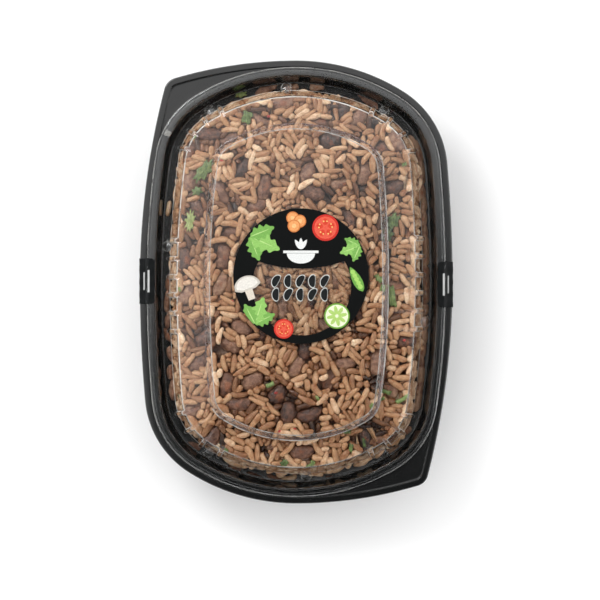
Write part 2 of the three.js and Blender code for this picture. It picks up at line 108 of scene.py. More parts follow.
# Beans that lie on the tray's shelf, under the slope below the dome: x, y, length and width.
SHELF_BEANS = (
    (-14.5, 93.2, 9.6, 4.2), (-2.5, 94.6, 7.0, 3.8), (10, 94.2, 7.2, 4.2), (35, 87.6, 9.5, 4.4),
    (-30, -90.2, 7.0, 3.6), (-20, -93.2, 7.5, 3.4), (-10, -94.9, 8.0, 3.6), (18, -94.6, 7.0, 3.2),
    (38, -87.6, 7.0, 3.4), (47, -81, 6.5, 3.4), (53.5, -72, 6.0, 3.2), (-50, -79.5, 8.0, 4.4),
)
# The rows of them along the two sides: side, inset, first and last y, step, length and width.
SHELF_ROWS = ((1, 13.2, -58, 70, 6.3, 8.8, 4.5), (-1, 13.7, -52, 0, 8.6, 8.6, 3.4))
# Where the food spills on to that shelf: x, y and how far round.
SPILLS = (
    (-30, -90, 6), (-14, -95, 8), (14, -95, 9), (34, -88, 9), (48, -78, 6), (62, 50, 5), (62, -30, 6),
)
# Hollows in the heap's face, where the grains and beans are painted darker as shade: x, y, radius and
# depth.
HOLLOWS = (
    (-45, -24, 7, 1.6), (-33, -49, 5, 1.8), (-25, -58, 6, 2.0), (-22, -45, 4, 1.2), (-9.5, -51, 6, 2.0),
    (-4, -56, 7, 2.2), (2, -62, 6, 2.0), (2, -32, 5, 1.4), (19, -37, 6, 1.0), (38, -45, 6, 1.5),
    (17, 68, 5, 1.4), (-39, -75, 7, 2.4), (-15, -79, 3.5, 2.6), (5, -80, 4.5, 3.0), (36, -70, 6, 2.8),
    (34, -76, 5, 2.6), (9.5, -67.5, 4, 2.2), (32, -25, 5, 1.0), (52, -29, 4, 1.6), (48, -55, 3.5, 1.6),
    (25, -40, 5, 1.3), (-32, 38, 6, 1.8), (-26, 53, 5, 1.3), (4, 54, 6, 1.3), (16, 43, 5, 1.3),
    (-37, 69, 7, 1.2), (-46, 66, 5, 1.4), (-2, 88, 4, 1.2), (21, 81, 6, 1.3), (36, 75, 6, 1.2),
    (-19, 80, 4, 1.4), (-50, 43, 5, 1.2), (-44, 34, 5, 1.5), (-52, 29, 5, 1.6), (-50, 19, 5, 1.6),
    (44, 48, 5, 1.2), (31, 43, 5, 1.4), (42, 26, 5, 1.8), (-52, 12, 4, 1.2), (-6, 20, 6, 0.8),
)
SPILLED_GRAINS = 30
SHELF_GRAINS = ((-61.2, 35.4, 80), (-3.4, -94.2, 8))  # x, y and turn of two that lie there alone

# ---- the oval ----
def quadrant_arcs(side, end, corner):
    """Centres, radii and end angles of the three arcs of the +X +Y quadrant."""
    side_at = np.array([HALF_WIDTH - side, 0.0])
    end_at = np.array([0.0, HALF_LENGTH - end])
    gap = np.linalg.norm(end_at - side_at)
    along = (end_at - side_at) / gap
    to_side, to_end = side - corner, end - corner
    share = (gap**2 + to_side**2 - to_end**2) / (2 * gap)
    reach = math.sqrt(to_side**2 - share**2)
    across = np.array([along[1], -along[0]])
    options = [side_at + along * share + across * reach * s for s in (1, -1)]
    corner_at = max(options, key=sum)
    first = math.atan2(*(corner_at - side_at)[::-1])
    second = math.atan2(*(corner_at - end_at)[::-1])
    return {"arcs": ((side_at, side), (corner_at, corner), (end_at, end)), "turns": (first, second)}


PLAIN = quadrant_arcs(**PLAIN_CORNER)
BODY_TAB = quadrant_arcs(**BODY_UNDER_TAB)
EDGE_TAB = quadrant_arcs(**TAB_CORNER)


def quadrant_points(quadrant, shares):
    """Points and normals of one quadrant. A share runs from 0 to 1 along each arc, so 0 to 3."""
    first, second = quadrant["turns"]
    spans = ((0, first), (first, second), (second, math.pi / 2))
    points, normals = [], []
    for share in shares:
        part = min(int(share), 2)
        (centre, radius), (start, stop) = quadrant["arcs"][part], spans[part]
        angle = start + (stop - start) * (share - part)
        normal = np.array([math.cos(angle), math.sin(angle)])
        points.append(centre + radius * normal)
        normals.append(normal)
    return np.array(points), np.array(normals)


def whole_ring(tab_quadrant, shares):
    """The ring counter-clockwise from +X. The tabs are at the -X +Y and the +X -Y corners."""
    points, normals = [], []
    layout = ((PLAIN, 1, 1, 0), (tab_quadrant, -1, 1, 1), (PLAIN, -1, -1, 2), (tab_quadrant, 1, -1, 3))
    for quadrant, sx, sy, number in layout:
        at, out = quadrant_points(quadrant, shares[number])
        step = -1 if number % 2 else 1
        points.append(at[::step] * (sx, sy))
        normals.append(out[::step] * (sx, sy))
    return np.concatenate(points), np.concatenate(normals)


def even_shares(count):
    """The same shares for every quadrant, about evenly spaced along the outline."""
    turns = np.diff([0, *BODY_TAB["turns"], math.pi / 2])
    lengths = [radius * abs(turn) for (_, radius), turn in zip(BODY_TAB["arcs"], turns)]
    edges = np.concatenate([[0], np.cumsum(lengths)]) / sum(lengths)
    return [np.interp((np.arange(count) + 0.5) / count, edges, np.arange(4))] * 4


def locate(x, y):
    """How far points lie inside the body's oval, and which way is out."""
    sx, sy = np.where(x < 0, -1.0, 1.0), np.where(y < 0, -1.0, 1.0)
    inset = np.empty(x.shape)
    out = np.empty(x.shape + (2,))
    for quadrant, here in ((PLAIN, sx * sy > 0), (BODY_TAB, sx * sy < 0)):
        at = np.stack([abs(x[here]), abs(y[here])], -1)
        reach = [at - centre for centre, radius in quadrant["arcs"]]
        far = [np.linalg.norm(r, axis=-1) for r in reach]
        depth = [radius - f for (centre, radius), f in zip(quadrant["arcs"], far)]
        turn = np.arctan2(reach[1][:, 1], reach[1][:, 0])
        in_corner = (turn > quadrant["turns"][0]) & (turn < quadrant["turns"][1])
        pick = np.where(in_corner, 1, np.where(depth[0] < depth[2], 0, 2))
        chosen = np.choose(pick[:, None], [r / f[:, None] for r, f in zip(reach, far)])
        inset[here] = np.choose(pick, depth)
        out[here] = chosen * np.stack([sx[here], sy[here]], -1)
    return inset, out


def at_inset(x, y, inset):
    """The point at an inset straight out from (x, y), and the outward normal there."""
    here, out = locate(np.array([x], float), np.array([y], float))
    return np.array([x, y]) + out[0] * (here[0] - inset), out[0]


def corner_spot(sx, sy, degrees, inset=BUMP["inset"]):
    """A spot at an inset, at an angle round the centre of a corner's arc."""
    centre, radius = (PLAIN if sx * sy > 0 else BODY_TAB)["arcs"][1]
    angle = math.radians(degrees)
    out = np.array([math.cos(angle), math.sin(angle)])
    return np.array([sx, sy]) * (centre + (radius - inset) * out)


# ---- meshes ----
def new_mesh(name, points, faces, materials, smooth=True, indices=None, **attributes):
    """An object from points in mm and a list of index arrays, one for each face width."""
    mesh = bpy.data.meshes.new(name)
    loops = np.concatenate([np.asarray(f).ravel() for f in faces])
    widths = np.concatenate([np.full(len(f), np.shape(f)[1]) for f in faces])
    starts = np.concatenate([[0], np.cumsum(widths)[:-1]])
    mesh.vertices.add(len(points))
    mesh.vertices.foreach_set("co", (np.asarray(points) * MM).astype(np.float32).ravel())
    mesh.loops.add(len(loops))
    mesh.loops.foreach_set("vertex_index", loops.astype(np.int32))
    mesh.polygons.add(len(widths))
    mesh.polygons.foreach_set("loop_start", starts.astype(np.int32))
    mesh.polygons.foreach_set("use_smooth", np.full(len(widths), smooth))
    if indices is not None:
        mesh.polygons.foreach_set("material_index", np.asarray(indices, np.int32))
    mesh.update(calc_edges=True)
    for key, values in attributes.items():
        values = np.asarray(values, np.float32)
        kind, field = ("FLOAT", "value") if values.ndim == 1 else ("FLOAT_COLOR", "color")
        mesh.attributes.new(key, kind, "POINT").data.foreach_set(field, values.ravel())
    for made in materials if isinstance(materials, (list, tuple)) else [materials]:
        mesh.materials.append(made)
    piece = bpy.data.objects.new(name, mesh)
    bpy.context.scene.collection.objects.link(piece)
    return piece


def belong(piece, slot, *nodes):
    """The piece rides on the pack's one body and stands for CAD nodes, which it hides. The slot is not
    used.
    """
    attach(piece, "root")
    if nodes:
        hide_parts(*nodes)


def rounded(levels, steps=4):
    """A profile with its corners filleted. A level is (inset, height, edge share, radius)."""
    levels = [tuple(level) + (0, 0)[len(level) - 2:] if len(level) < 4 else level for level in levels]
    made = [levels[0][:3]]
    for before, here, after in zip(levels, levels[1:], levels[2:]):
        p, radius = np.array(here[:2], float), here[3]
        back, ahead = np.array(before[:3], float), np.array(after[:3], float)
        middle = np.array(here[:3], float)
        a, b = back[:2] - p, ahead[:2] - p
        la, lb = np.linalg.norm(a), np.linalg.norm(b)
        turn = math.pi - math.acos(np.clip(a @ b / (la * lb), -1, 1))
        trim = min(radius * math.tan(turn / 2), 0.45 * la, 0.45 * lb)
        if radius == 0 or turn < 0.05:
            made.append(here[:3])
            continue
        start, stop = middle + (back - middle) * trim / la, middle + (ahead - middle) * trim / lb
        if la > 4 * trim:
            made.append(tuple(start + (back - middle) * 0.25 * trim / la))
        for i in range(steps + 1):
            t = i / steps
            made.append(tuple(start * (1 - t) ** 2 + middle * 2 * t * (1 - t) + stop * t * t))
        if lb > 4 * trim:
            made.append(tuple(stop + (ahead - middle) * 0.25 * trim / lb))
    made.append(levels[-1][:3])
    return np.array(made, float)


def thickened(profile, wall):
    """The other face of a wall whose first face runs through the profile, edge to middle."""
    step = np.diff(profile[:, :2], axis=0)
    step /= np.linalg.norm(step, axis=1)[:, None]
    after = np.vstack([step, [1, 0]])
    before = np.vstack([step[:1], step])
    mitre = wall / np.maximum(1 + (before * after).sum(1), 0.5)
    other = profile.copy()
    other[:, 0] += (before[:, 1] + after[:, 1]) * mitre
    other[:, 1] -= (before[:, 0] + after[:, 0]) * mitre
    return other


def run_length(profile):
    """How far along a profile each of its points lies."""
    return np.concatenate([[0], np.cumsum(np.linalg.norm(np.diff(profile[:, :2], axis=0), axis=1))])


def at_lengths(profile, far, at):
    """The profile's values at lengths along it, where far is the length at each of its points."""
    return np.column_stack([np.interp(at, far, column) for column in profile.T])


def ring_at(oval, inset, height):
    """A ring of 3-D points at an inset and a height, which are one value or one for each point."""
    points, normals = oval
    inset, height = (np.broadcast_to(value, len(points)) for value in (inset, height))
    return np.column_stack([points - normals * inset[:, None], height])


def ring_grid(columns):
    """Faces of a stack of rings. columns is (levels, count) of vertex numbers, top first."""
    a, b = columns[:-1], columns[1:]
    return np.stack([a, b, np.roll(b, -1, 1), np.roll(a, -1, 1)], -1).reshape(-1, 4)


def closed_shell(rings):
    """Points and faces of a body through rings, (levels, count, 3), shut at its first and last."""
    levels, count = rings.shape[:2]
    number = np.arange(levels * count).reshape(levels, count)
    caps = rings[[0, -1]].mean(1)
    points = np.vstack([rings.reshape(-1, 3), caps])
    top, foot = levels * count, levels * count + 1
    first, last = number[0], number[-1]
    fans = np.concatenate([
        np.stack([np.full(count, top), first, np.roll(first, -1)], -1),
        np.stack([np.full(count, foot), np.roll(last, -1), last], -1),
    ])
    return points, [ring_grid(number), fans]


def closed_tube(rings):
    """Points and faces of a body through rings, (levels, count, 3), whose last meets its first."""
    number = np.arange(rings.shape[0] * rings.shape[1]).reshape(rings.shape[:2])
    return rings.reshape(-1, 3), ring_grid(np.vstack([number, number[:1]]))


def wander(points, size, layer):
    """Smooth noise over points seen from above, whose features are about a size across."""
    return np.array([noise.noise(Vector((x / size, y / size, layer))) for x, y in points[:, :2]])


def wobble(points, *waves):
    """Moves each point by noise, once for each (how far, size of the features)."""
    for at in points:
        for far, size in waves:
            at += far * np.array(noise.noise_vector(Vector(at / size)))


# ---- materials ----
def linear(*rgb):
    """A display colour of 0 to 255 as the linear colour that shaders take."""
    shares = [c / 255 for c in rgb]
    return tuple(s / 12.92 if s < 0.04045 else ((s + 0.055) / 1.055) ** 2.4 for s in shares) + (1.0,)


def grey(share):
    return share, share, share, 1


class Nodes:
    """Short ways to add nodes to a shader tree."""

    def __init__(self, tree):
        self.tree = tree

    def plug(self, socket, value):
        if isinstance(value, bpy.types.NodeSocket):
            self.tree.links.new(value, socket)
        else:
            socket.default_value = value

    def node(self, kind, output=0, options=(), **inputs):
        """A new node's output. Its inputs go by name, or by number as i0, i1 and so on."""
        made = self.tree.nodes.new("ShaderNode" + kind)
        for key, value in dict(options).items():
            setattr(made, key, value)
        for key, value in inputs.items():
            index = int(key[1:]) if key[1:].isdigit() else key.replace("_", " ")
            self.plug(made.inputs[index], value)
        return made.outputs[output]

    def place(self):
        return self.node("TexCoord", "Object")

    def noise(self, scale, detail=3.0, roughness=0.55, where=None):
        """Noise whose features are 1 / scale of a metre across."""
        where = where or self.place()
        return self.node("TexNoise", Vector=where, Scale=scale, Detail=detail, Roughness=roughness)

    def attribute(self, name, output="Fac"):
        return self.node("Attribute", output, {"attribute_name": name})

    def math(self, operation, a, b, clamp=False):
        return self.node("Math", 0, {"operation": operation, "use_clamp": clamp}, i0=a, i1=b)

    def weighed(self, *parts):
        """The sum of two values, each times its weight. A weight of 1 adds no node."""
        a, b = (value if weight == 1 else self.math("MULTIPLY", value, weight) for value, weight in parts)
        return self.math("ADD", a, b)

    def ramp(self, factor, *stops):
        """Colour from (position, colour) stops."""
        made = self.tree.nodes.new("ShaderNodeValToRGB")
        self.plug(made.inputs[0], factor)
        band = made.color_ramp
        while len(band.elements) < len(stops):
            band.elements.new(0.5)
        for element, (position, colour) in zip(band.elements, stops):
            element.position, element.color = position, colour
        return made.outputs[0]

    def mix(self, factor, a, b, blend="MIX"):
        return self.node("Mix", 2, {"data_type": "RGBA", "blend_type": blend}, i0=factor, i6=a, i7=b)


class Finish(Nodes):
    """A material round one Principled shader."""

    def __init__(self, name, **plain):
        self.material = bpy.data.materials.new(name)
        self.material.use_nodes = True
        super().__init__(self.material.node_tree)
        self.shader = self.tree.nodes["Principled BSDF"]
        self.set(**plain)

    def set(self, **inputs):
        for key, value in inputs.items():
            self.plug(self.shader.inputs[key.replace("_", " ")], value)

    def colours(self, factor, *stops):
        """The base colour by a factor, from (position, colour) stops."""
        self.set(Base_Color=self.ramp(factor, *stops))

    def rough(self, factor, low, high):
        """The roughness, from low to high as a factor goes from 0 to 1."""
        self.set(Roughness=self.node("MapRange", Value=factor, To_Min=low, To_Max=high))

    def relief(self, height, strength, distance):
        bump = self.node("Bump", Height=height, Strength=strength, Distance=distance * MM)
        self.set(Normal=bump)

    def clear_to_lamps(self, tint=grey(1)):
        """Lets light through to what the clear film or plastic shuts in."""
        through = self.node("BsdfTransparent", Color=tint)
        shadow = self.node("LightPath", "Is Shadow Ray")
        mixed = self.node("MixShader", i0=shadow, i1=self.shader.outputs[0], i2=through)
        self.plug(self.tree.nodes["Material Output"].inputs["Surface"], mixed)


def tray_plastic():
    made = Finish("tray_plastic", Specular_IOR_Level=0.85)
    made.colours(made.noise(55, 2), (0.3, linear(14, 15, 15)), (0.7, linear(19, 20, 20)))
    made.rough(made.noise(140), 0.16, 0.22)
    made.relief(made.noise(1800, 2), 0.02, 0.02)
    return made.material


def lid_plastic():
    made = Finish("lid_plastic", Transmission_Weight=1.0, IOR=1.42)
    haze = made.noise(35, 2)
    made.colours(haze, (0.3, (0.95, 0.96, 0.96, 1)), (0.8, grey(0.98)))
    made.rough(haze, 0.02, 0.05)
    made.relief(made.noise(40, 1), 0.02, 0.2)
    made.clear_to_lamps(grey(0.95))
    return made.material


def fold_highlight_plastic(name, alpha):
    """Pale, partly opaque plastic on the lid's folds: painted highlight for the lines of light that the
    folds catch.
    """
    made = Finish(name, Alpha=alpha, Specular_IOR_Level=0.5)
    made.colours(made.noise(160), (0.3, linear(186, 184, 178)), (0.7, linear(236, 235, 230)))
    made.rough(made.noise(400), 0.25, 0.4)
    return made.material


def rice(name, upright=1.0, stained=0.75):
    """Cooked rice, whose mottling may be drawn out upwards."""
    made = Finish(name, Subsurface_Weight=0.15, Subsurface_Radius=(1.0, 0.6, 0.4))
    made.set(Subsurface_Scale=1.2 * MM, Specular_IOR_Level=0.4, Coat_Weight=0.08, Coat_Roughness=0.3)
    own = made.ramp(
        made.attribute("tint"),
        (0.0, linear(44, 27, 18)), (0.2, linear(98, 64, 41)), (0.48, linear(162, 122, 89)),
        (0.76, linear(200, 163, 127)), (1.0, linear(248, 226, 198)),
    )
    where = made.node("Mapping", Vector=made.place(), Scale=(1, 1, 1 / upright))
    patches, specks = made.noise(320, 4, 0.6, where), made.noise(1500, 3, 0.7, where)
    stain = made.ramp(patches, (0.35, linear(202, 162, 128)), (0.6, linear(250, 246, 240)))
    speckle = made.ramp(specks, (0.36, linear(206, 188, 172)), (0.6, linear(255, 255, 255)))
    colour = made.mix(0.7, made.mix(stained, own, stain, "MULTIPLY"), speckle, "MULTIPLY")
    tips = made.math("MULTIPLY", made.attribute("tip"), 0.35, True)
    made.set(Base_Color=made.mix(tips, colour, linear(150, 108, 76)))
    made.rough(made.noise(900, 2), 0.34, 0.55)
    made.relief(made.noise(1300, 4, 0.65, where), 0.45, 0.16)
    return made.material


def bean_skin():
    made = Finish("bean_skin", Coat_Weight=0.15, Coat_Roughness=0.25)
    made.set(Subsurface_Weight=0.06, Subsurface_Radius=(1.0, 0.4, 0.3), Subsurface_Scale=1.0 * MM)
    skin = made.ramp(
        made.weighed((made.noise(420, 5, 0.66), 1.1), (made.attribute("tint"), 0.3)),
        (0.42, linear(46, 27, 19)), (0.58, linear(90, 56, 40)),
        (0.74, linear(126, 88, 67)), (0.98, linear(164, 128, 102)),
    )
    ragged = made.math("MULTIPLY", made.math("ADD", made.noise(600, 4), -0.5), 1.6)
    scar = made.ramp(made.math("ADD", made.attribute("scar"), ragged), (0.3, grey(0)), (0.5, grey(1)))
    made.set(Base_Color=made.mix(made.math("MULTIPLY", scar, 0.65), skin, linear(136, 76, 42)))
    made.rough(made.noise(700, 2), 0.42, 0.6)
    made.relief(made.noise(560, 5, 0.65), 1.0, 0.8)
    return made.material


def food_core_surface():
    """Stained rice and sauce between the loose grains, with painted shade that takes it to near black
    where it lies deep.
    """
    made = Finish("food_core_surface", Coat_Weight=0.2, Coat_Roughness=0.3)
    lumps = made.node("TexVoronoi", "Distance", Vector=made.place(), Scale=330)
    food = made.ramp(
        made.weighed((made.noise(130, 5), 0.7), (lumps, 0.45)),
        (0.25, linear(44, 25, 17)), (0.5, linear(78, 50, 35)), (0.75, linear(124, 88, 63)),
    )
    height = made.node("SeparateXYZ", "Z", i0=made.place())
    # Painted shade: the lower the core lies under the rim, the nearer to black.
    depth = made.node("MapRange", Value=height, From_Min=(RIM + 3) * MM, From_Max=(RIM - 5) * MM)
    made.set(Base_Color=made.mix(depth, food, linear(14, 10, 8)))
    made.rough(made.noise(400, 2), 0.4, 0.65)
    made.relief(lumps, 0.7, 1.0)
    return made.material


def sauce_and_shade_surface():
    # Dark red-brown: sauce, and painted shade for the gap under the panel's step.
    made = Finish("sauce_and_shade_film", Specular_IOR_Level=0.5, Coat_Weight=0.3, Coat_Roughness=0.15)
    made.colours(made.noise(260), (0.35, linear(42, 16, 9)), (0.7, linear(88, 42, 24)))
    made.rough(made.noise(500), 0.25, 0.45)
    return made.material


def herb(name, dark, middle, light):
    made = Finish(name, Coat_Weight=0.1, Subsurface_Weight=0.1, Subsurface_Scale=0.8 * MM)
    bands = {"wave_type": "BANDS"}
    veins = made.node("TexWave", "Fac", bands, Vector=made.place(), Scale=260, Distortion=9.0, Detail=2.0)
    mottle = made.weighed((made.noise(500), 0.6), (veins, 0.1))
    shade = made.weighed((made.attribute("tint"), 0.45), (mottle, 1))
    made.colours(shade, (0.26, linear(*dark)), (0.5, linear(*middle)), (0.82, linear(*light)))
    made.rough(made.noise(800), 0.4, 0.6)
    made.relief(veins, 0.35, 0.2)
    return made.material


def pepper_skin():
    made = Finish("pepper_skin", Coat_Weight=0.2)
    made.colours(made.noise(900), (0.3, linear(120, 24, 20)), (0.7, linear(186, 52, 40)))
    made.rough(made.noise(700), 0.3, 0.45)
    return made.material


def clear_film():
    made = Finish("clear_film", Transmission_Weight=1.0, IOR=1.4)
    made.colours(made.noise(300), (0.3, (0.9, 0.91, 0.91, 1)), (0.7, grey(0.98)))
    made.rough(made.noise(90), 0.05, 0.1)
    made.clear_to_lamps()
    return made.material


def ink(name, colour=None):
    """Printed ink: one colour, or each point's own."""
    made = Finish(name, Specular_IOR_Level=0.12)
    grain = made.ramp(made.noise(2200, 2), (0.3, grey(0.8)), (0.7, grey(1.08)))
    base = colour or made.attribute("ink", "Color")
    made.set(Base_Color=made.mix(1.0, base, grain, "MULTIPLY"))
    made.rough(made.noise(200), 0.3, 0.42)
    made.relief(made.noise(45, 1), 0.1, 0.15)
    return made.material


def floor_paper():
    made = Finish("floor_paper", Specular_IOR_Level=0.1, Roughness=0.9)
    made.colours(made.noise(4), (0.3, grey(0.93)), (0.7, grey(0.95)))
    return made.material


# ---- tray ----
# The tray's upper face from its lip to its middle: inset, height, share of the tabbed outline and
# radius of the corner there. The levels from FIRST_SHELF_LEVEL on are the shelf and what lies inside it.
FIRST_SHELF_LEVEL = 9
TRAY_FACE = (
    (0.15, RIM - 3.4, 1, 0),
    (0, RIM - 2.9, 1, 0.5),
    (0, RIM, 1, 0.8),
    (2.95, RIM, 1, 0.2),
    (3.15, RIM - 0.6, 1, 0.2),
    (4.3, RIM - 0.6, 0, 0.35),
    (4.9, RIM + BEAD_RISE, 0, 0.6),
    (6.9, RIM + BEAD_RISE, 0, 0.6),
    (7.6, RIM + 0.7, 0, 0.8),
    (9.5, SHELF, 0, 1.0),
    (14.8, SHELF - 0.3, 0, 1.2),
    (17.6, 7, 0, 4),
    (19.4, 3.2, 0, 3),
    (23.0, TRAY_WALL, 0, 2.5),
    (27.0, TRAY_WALL, 0, 0.8),
    (28.2, TRAY_WALL + 1, 0, 0.8),
    (40.0, TRAY_WALL + 1, 0, 0),
)


def ring_stack(profile, body, edge):
    """Rings of 3-D points for a profile of (inset, height, edge share)."""
    stack = []
    for inset, height, share in profile:
        inner, outer = (ring_at(oval, inset, height) for oval in (body, edge))
        stack.append(inner * (1 - share) + outer * share)
    return np.array(stack)


def make_tray():
    shares = even_shares(110)
    body, edge = whole_ring(BODY_TAB, shares), whole_ring(EDGE_TAB, shares)
    face = rounded(TRAY_FACE)
    upper = ring_stack(face, body, edge)
    lower = ring_stack(thickened(face, TRAY_WALL), body, edge)
    points, faces = closed_shell(np.concatenate([upper[::-1], lower]))
    belong(new_mesh("tray_body", points, faces, tray_plastic()), "tray_plastic", "tray")


# ---- lid ----
LID_EDGE = (
    (3.35, RIM - 0.1, 0, 0),
    (3.5, RIM + 2.9, 0, 1.0),
    (8.0, RIM + 2.9, 0, 0.9),
    (9.8, RIM + CHANNEL, 0, 0.6),
    (10.7, RIM + CHANNEL, 0, 0.6),
)
LID_WALL_FACE = ((*KNEE, 0, 0.7), (*SHOULDER, 0, 0.9))
LID_RIB_FACE = ((12.75, RIM - 1.2, 0, 0.5), (17.15, RIM + 12.9, 0, 0.8), (20.6, RIM + 14.06, 0, 0))
LID_TOP = ((*PANEL_FOOT, 0, 1.1), (*PANEL, 0, 0.9), (37, PANEL[1], 0, 0))
# Where the painted highlight lines on the lid's folds lie (inset, height), how wide each is and how pale
# on its dull and lit sides.
FOLD_HIGHLIGHTS = (
    ((3.45, RIM + 2.75), 0.45, (1, 2)),
    (KNEE, 0.7, (2, 3)),
    (SHOULDER, 0.3, (2, 3)),
    (PANEL_FOOT, 0.1, (2, 0)),
    (PANEL, 0.15, (2, 2)),
)


def spread(profile, knots, counts):
    """The profile's stretch through the knots, with close levels beside each knot."""
    far = run_length(profile)
    marks = [far[np.argmin(np.linalg.norm(profile[:, :2] - knot, axis=1))] for knot in knots]
    at = [np.linspace(a + 0.18, b - 0.18, n) for a, b, n in zip(marks, marks[1:], counts)]
    return at_lengths(profile, far, np.concatenate([[marks[0]], *at, [marks[-1]]]))


CORNERS = ((1, 1), (-1, 1), (-1, -1), (1, -1))


def rib_and_bump_places():
    """Base points of the ribs and of the round bumps, at the bumps' inset."""
    side_x, end_y, edge_x = HALF_WIDTH - BUMP["inset"], HALF_LENGTH - BUMP["inset"], BUMP["end_x"]
    ribs = [corner_spot(*corner, angle) for corner in CORNERS for angle in CORNER_RIB_ANGLES]
    bumps = [corner_spot(*corner, BUMP["angle"]) for corner in CORNERS]
    for side, shift in RIB_SHIFT.items():
        for i in range(RIB_COUNT):
            y = shift + (i - (RIB_COUNT - 1) / 2) * RIB_PITCH
            ribs.append(at_inset(side * side_x, y, BUMP["inset"])[0])
    for spot in ((-side_x, BUMP["left_y"]), (side_x, BUMP["right_y"]), (-edge_x, end_y), (edge_x, -end_y)):
        bumps.append(at_inset(*spot, BUMP["inset"])[0])
    return np.array(ribs), np.array(bumps)


def crowded_shares(ribs, bumps):
    """Shares for each quadrant, close together near the ribs and bumps and wide apart elsewhere."""
    made = []
    for number, sign in enumerate(CORNERS):
        shares = np.linspace(0, 3, 3001)
        points, normals = quadrant_points(BODY_TAB if number % 2 else PLAIN, shares)
        at = (points - normals * BUMP["inset"]) * sign
        to_rib, to_bump = (
            np.min(np.linalg.norm(at[:, None] - spots, axis=2), axis=1) for spots in (ribs, bumps)
        )
        step = np.where((to_rib < 1.8) | (to_bump < 2.5), 0.3, 2.2)
        length = np.linalg.norm(np.diff(at, axis=0), axis=1)
        count = np.concatenate([[0], np.cumsum(length / (0.5 * (step[1:] + step[:-1])))])
        wanted = (np.arange(round(count[-1])) + 0.5) * count[-1] / round(count[-1])
        made.append(np.interp(wanted, count, shares))
    return made


def make_lid():
    ribs, bumps = rib_and_bump_places()
    shares = crowded_shares(ribs, bumps)
    points, normals = whole_ring(BODY_TAB, shares)
    walls = []
    low, high = (11.3, RIM - 3.0), (20.6, RIM + 14.05)
    for wall in (LID_WALL_FACE, LID_RIB_FACE):
        profile = rounded((*LID_EDGE, *wall, *LID_TOP))
        first, last = (int(np.argmax(profile[:, 0] > inset)) for inset, height in (low, high))
        between = spread(profile, [low, wall[0][:2], wall[1][:2], high], (10, 11, 4))
        walls.append(np.vstack([profile[:first - 1], between, profile[last:]]))
    at = points - normals * BUMP["inset"]
    along = np.column_stack([-normals[:, 1], normals[:, 0]])
    nearest = np.argmin(np.linalg.norm(at[:, None] - ribs[None], axis=2), axis=1)
    aside = abs(((at - ribs[nearest]) * along).sum(1))
    aside[np.linalg.norm(at - ribs[nearest], axis=1) > 4] = 9

    def face(plain, ribbed):
        half = rib_half(plain[:, 1])[:, None]
        bulge = np.clip(1 - (aside[None] / half) ** 3, 0, 1)
        inset = plain[:, :1] + (ribbed - plain)[:, :1] * bulge
        height = plain[:, 1:2] + (ribbed - plain)[:, 1:2] * bulge
        rings = np.dstack([points[None] - normals[None] * inset[:, :, None], height])
        raise_bumps(rings, bumps)
        raise_tick(rings)
        return rings

    upper = face(*walls)
    lower = face(*(thickened(wall, LID_WALL) for wall in walls))
    made, faces = closed_shell(np.concatenate([upper[::-1], lower]))
    # Each face's level of painted highlight, on the folds and round the ribs, bumps and tick.
    pale = fold_highlight_marks(walls, upper, aside, normals, bumps)
    around = np.zeros((1, len(points)), int)
    indices = np.concatenate([pale[::-1], around, pale]).ravel()
    indices = np.concatenate([indices, np.zeros(2 * len(points), int)])
    # The clear plastic, then painted highlight finishes of rising opacity.
    finishes = [lid_plastic()] + [fold_highlight_plastic(f"fold_highlight_{i}", a) for i, a in enumerate((0.2, 0.38, 0.75))]
    piece = new_mesh("lid_shell", made, faces, finishes, indices=indices)
    belong(piece, "lid_plastic", "lid")


def rib_half(height):
    """Half the width of a rib, from its foot to its top."""
    return 1.15 + 0.15 * np.clip((height - KNEE[1]) / 12, 0, 1)


def fold_highlight_marks(walls, upper, aside, normals, bumps):
    """Which finish each face of the lid takes: 0 clear, then ever paler painted highlight."""
    plain = (walls[0][1:] + walls[0][:-1]) / 2
    side = (aside + np.roll(aside, -1)) / 2
    lit = normals @ np.array([-0.55, 0.83])
    middle = (upper[1:] + upper[:-1]) / 2
    middle = (middle + np.roll(middle, -1, 1)) / 2
    marks = np.zeros((len(plain), len(side)), int)
    inset, height = plain[:, 0], plain[:, 1]
    on_wall = (inset > KNEE[0]) & (height > KNEE[1] + 0.3) & (height < SHOULDER[1] - 0.4)
    # The painted highlight is brighter on the lit side and thinner where the noise is low.
    faint = wander(middle[0], 9, 2.0) < -0.08
    for knot, width, (dull, bright) in FOLD_HIGHLIGHTS:
        near = np.linalg.norm(plain[:, :2] - knot, axis=1) < width / 2 + 0.15
        level = np.maximum(np.where(lit > 0.1, bright, dull) - faint, 0)
        marks[near] = np.maximum(marks[near], level[None])
    # Painted highlight outlines round the ribs, along the knee under them, round the bumps and over the
    # tick.
    half = rib_half(height)[:, None]
    edge = (side[None] > half - 0.32) & (side[None] < half + 0.02)
    marks[edge & on_wall[:, None]] = 2
    foot = np.linalg.norm(plain[:, :2] - KNEE, axis=1) < 0.3
    marks[foot[:, None] & (side[None] < half)] = 2
    for spot in bumps:
        far = np.linalg.norm(middle[..., :2] - spot, axis=-1)
        ring = (far > BUMP["radius"] - 0.5) & (far < BUMP["radius"] - 0.12)
        marks[ring & ((inset < 15.5) & (inset > 10.3))[:, None]] = 1
    tick = middle[..., :2] - at_inset(TICK["x"], TICK["y"], TICK["inset"])[0]
    marks[(np.linalg.norm(tick, axis=-1) < 1.7) & (height > RIM + 2)[:, None]] = 1
    return marks


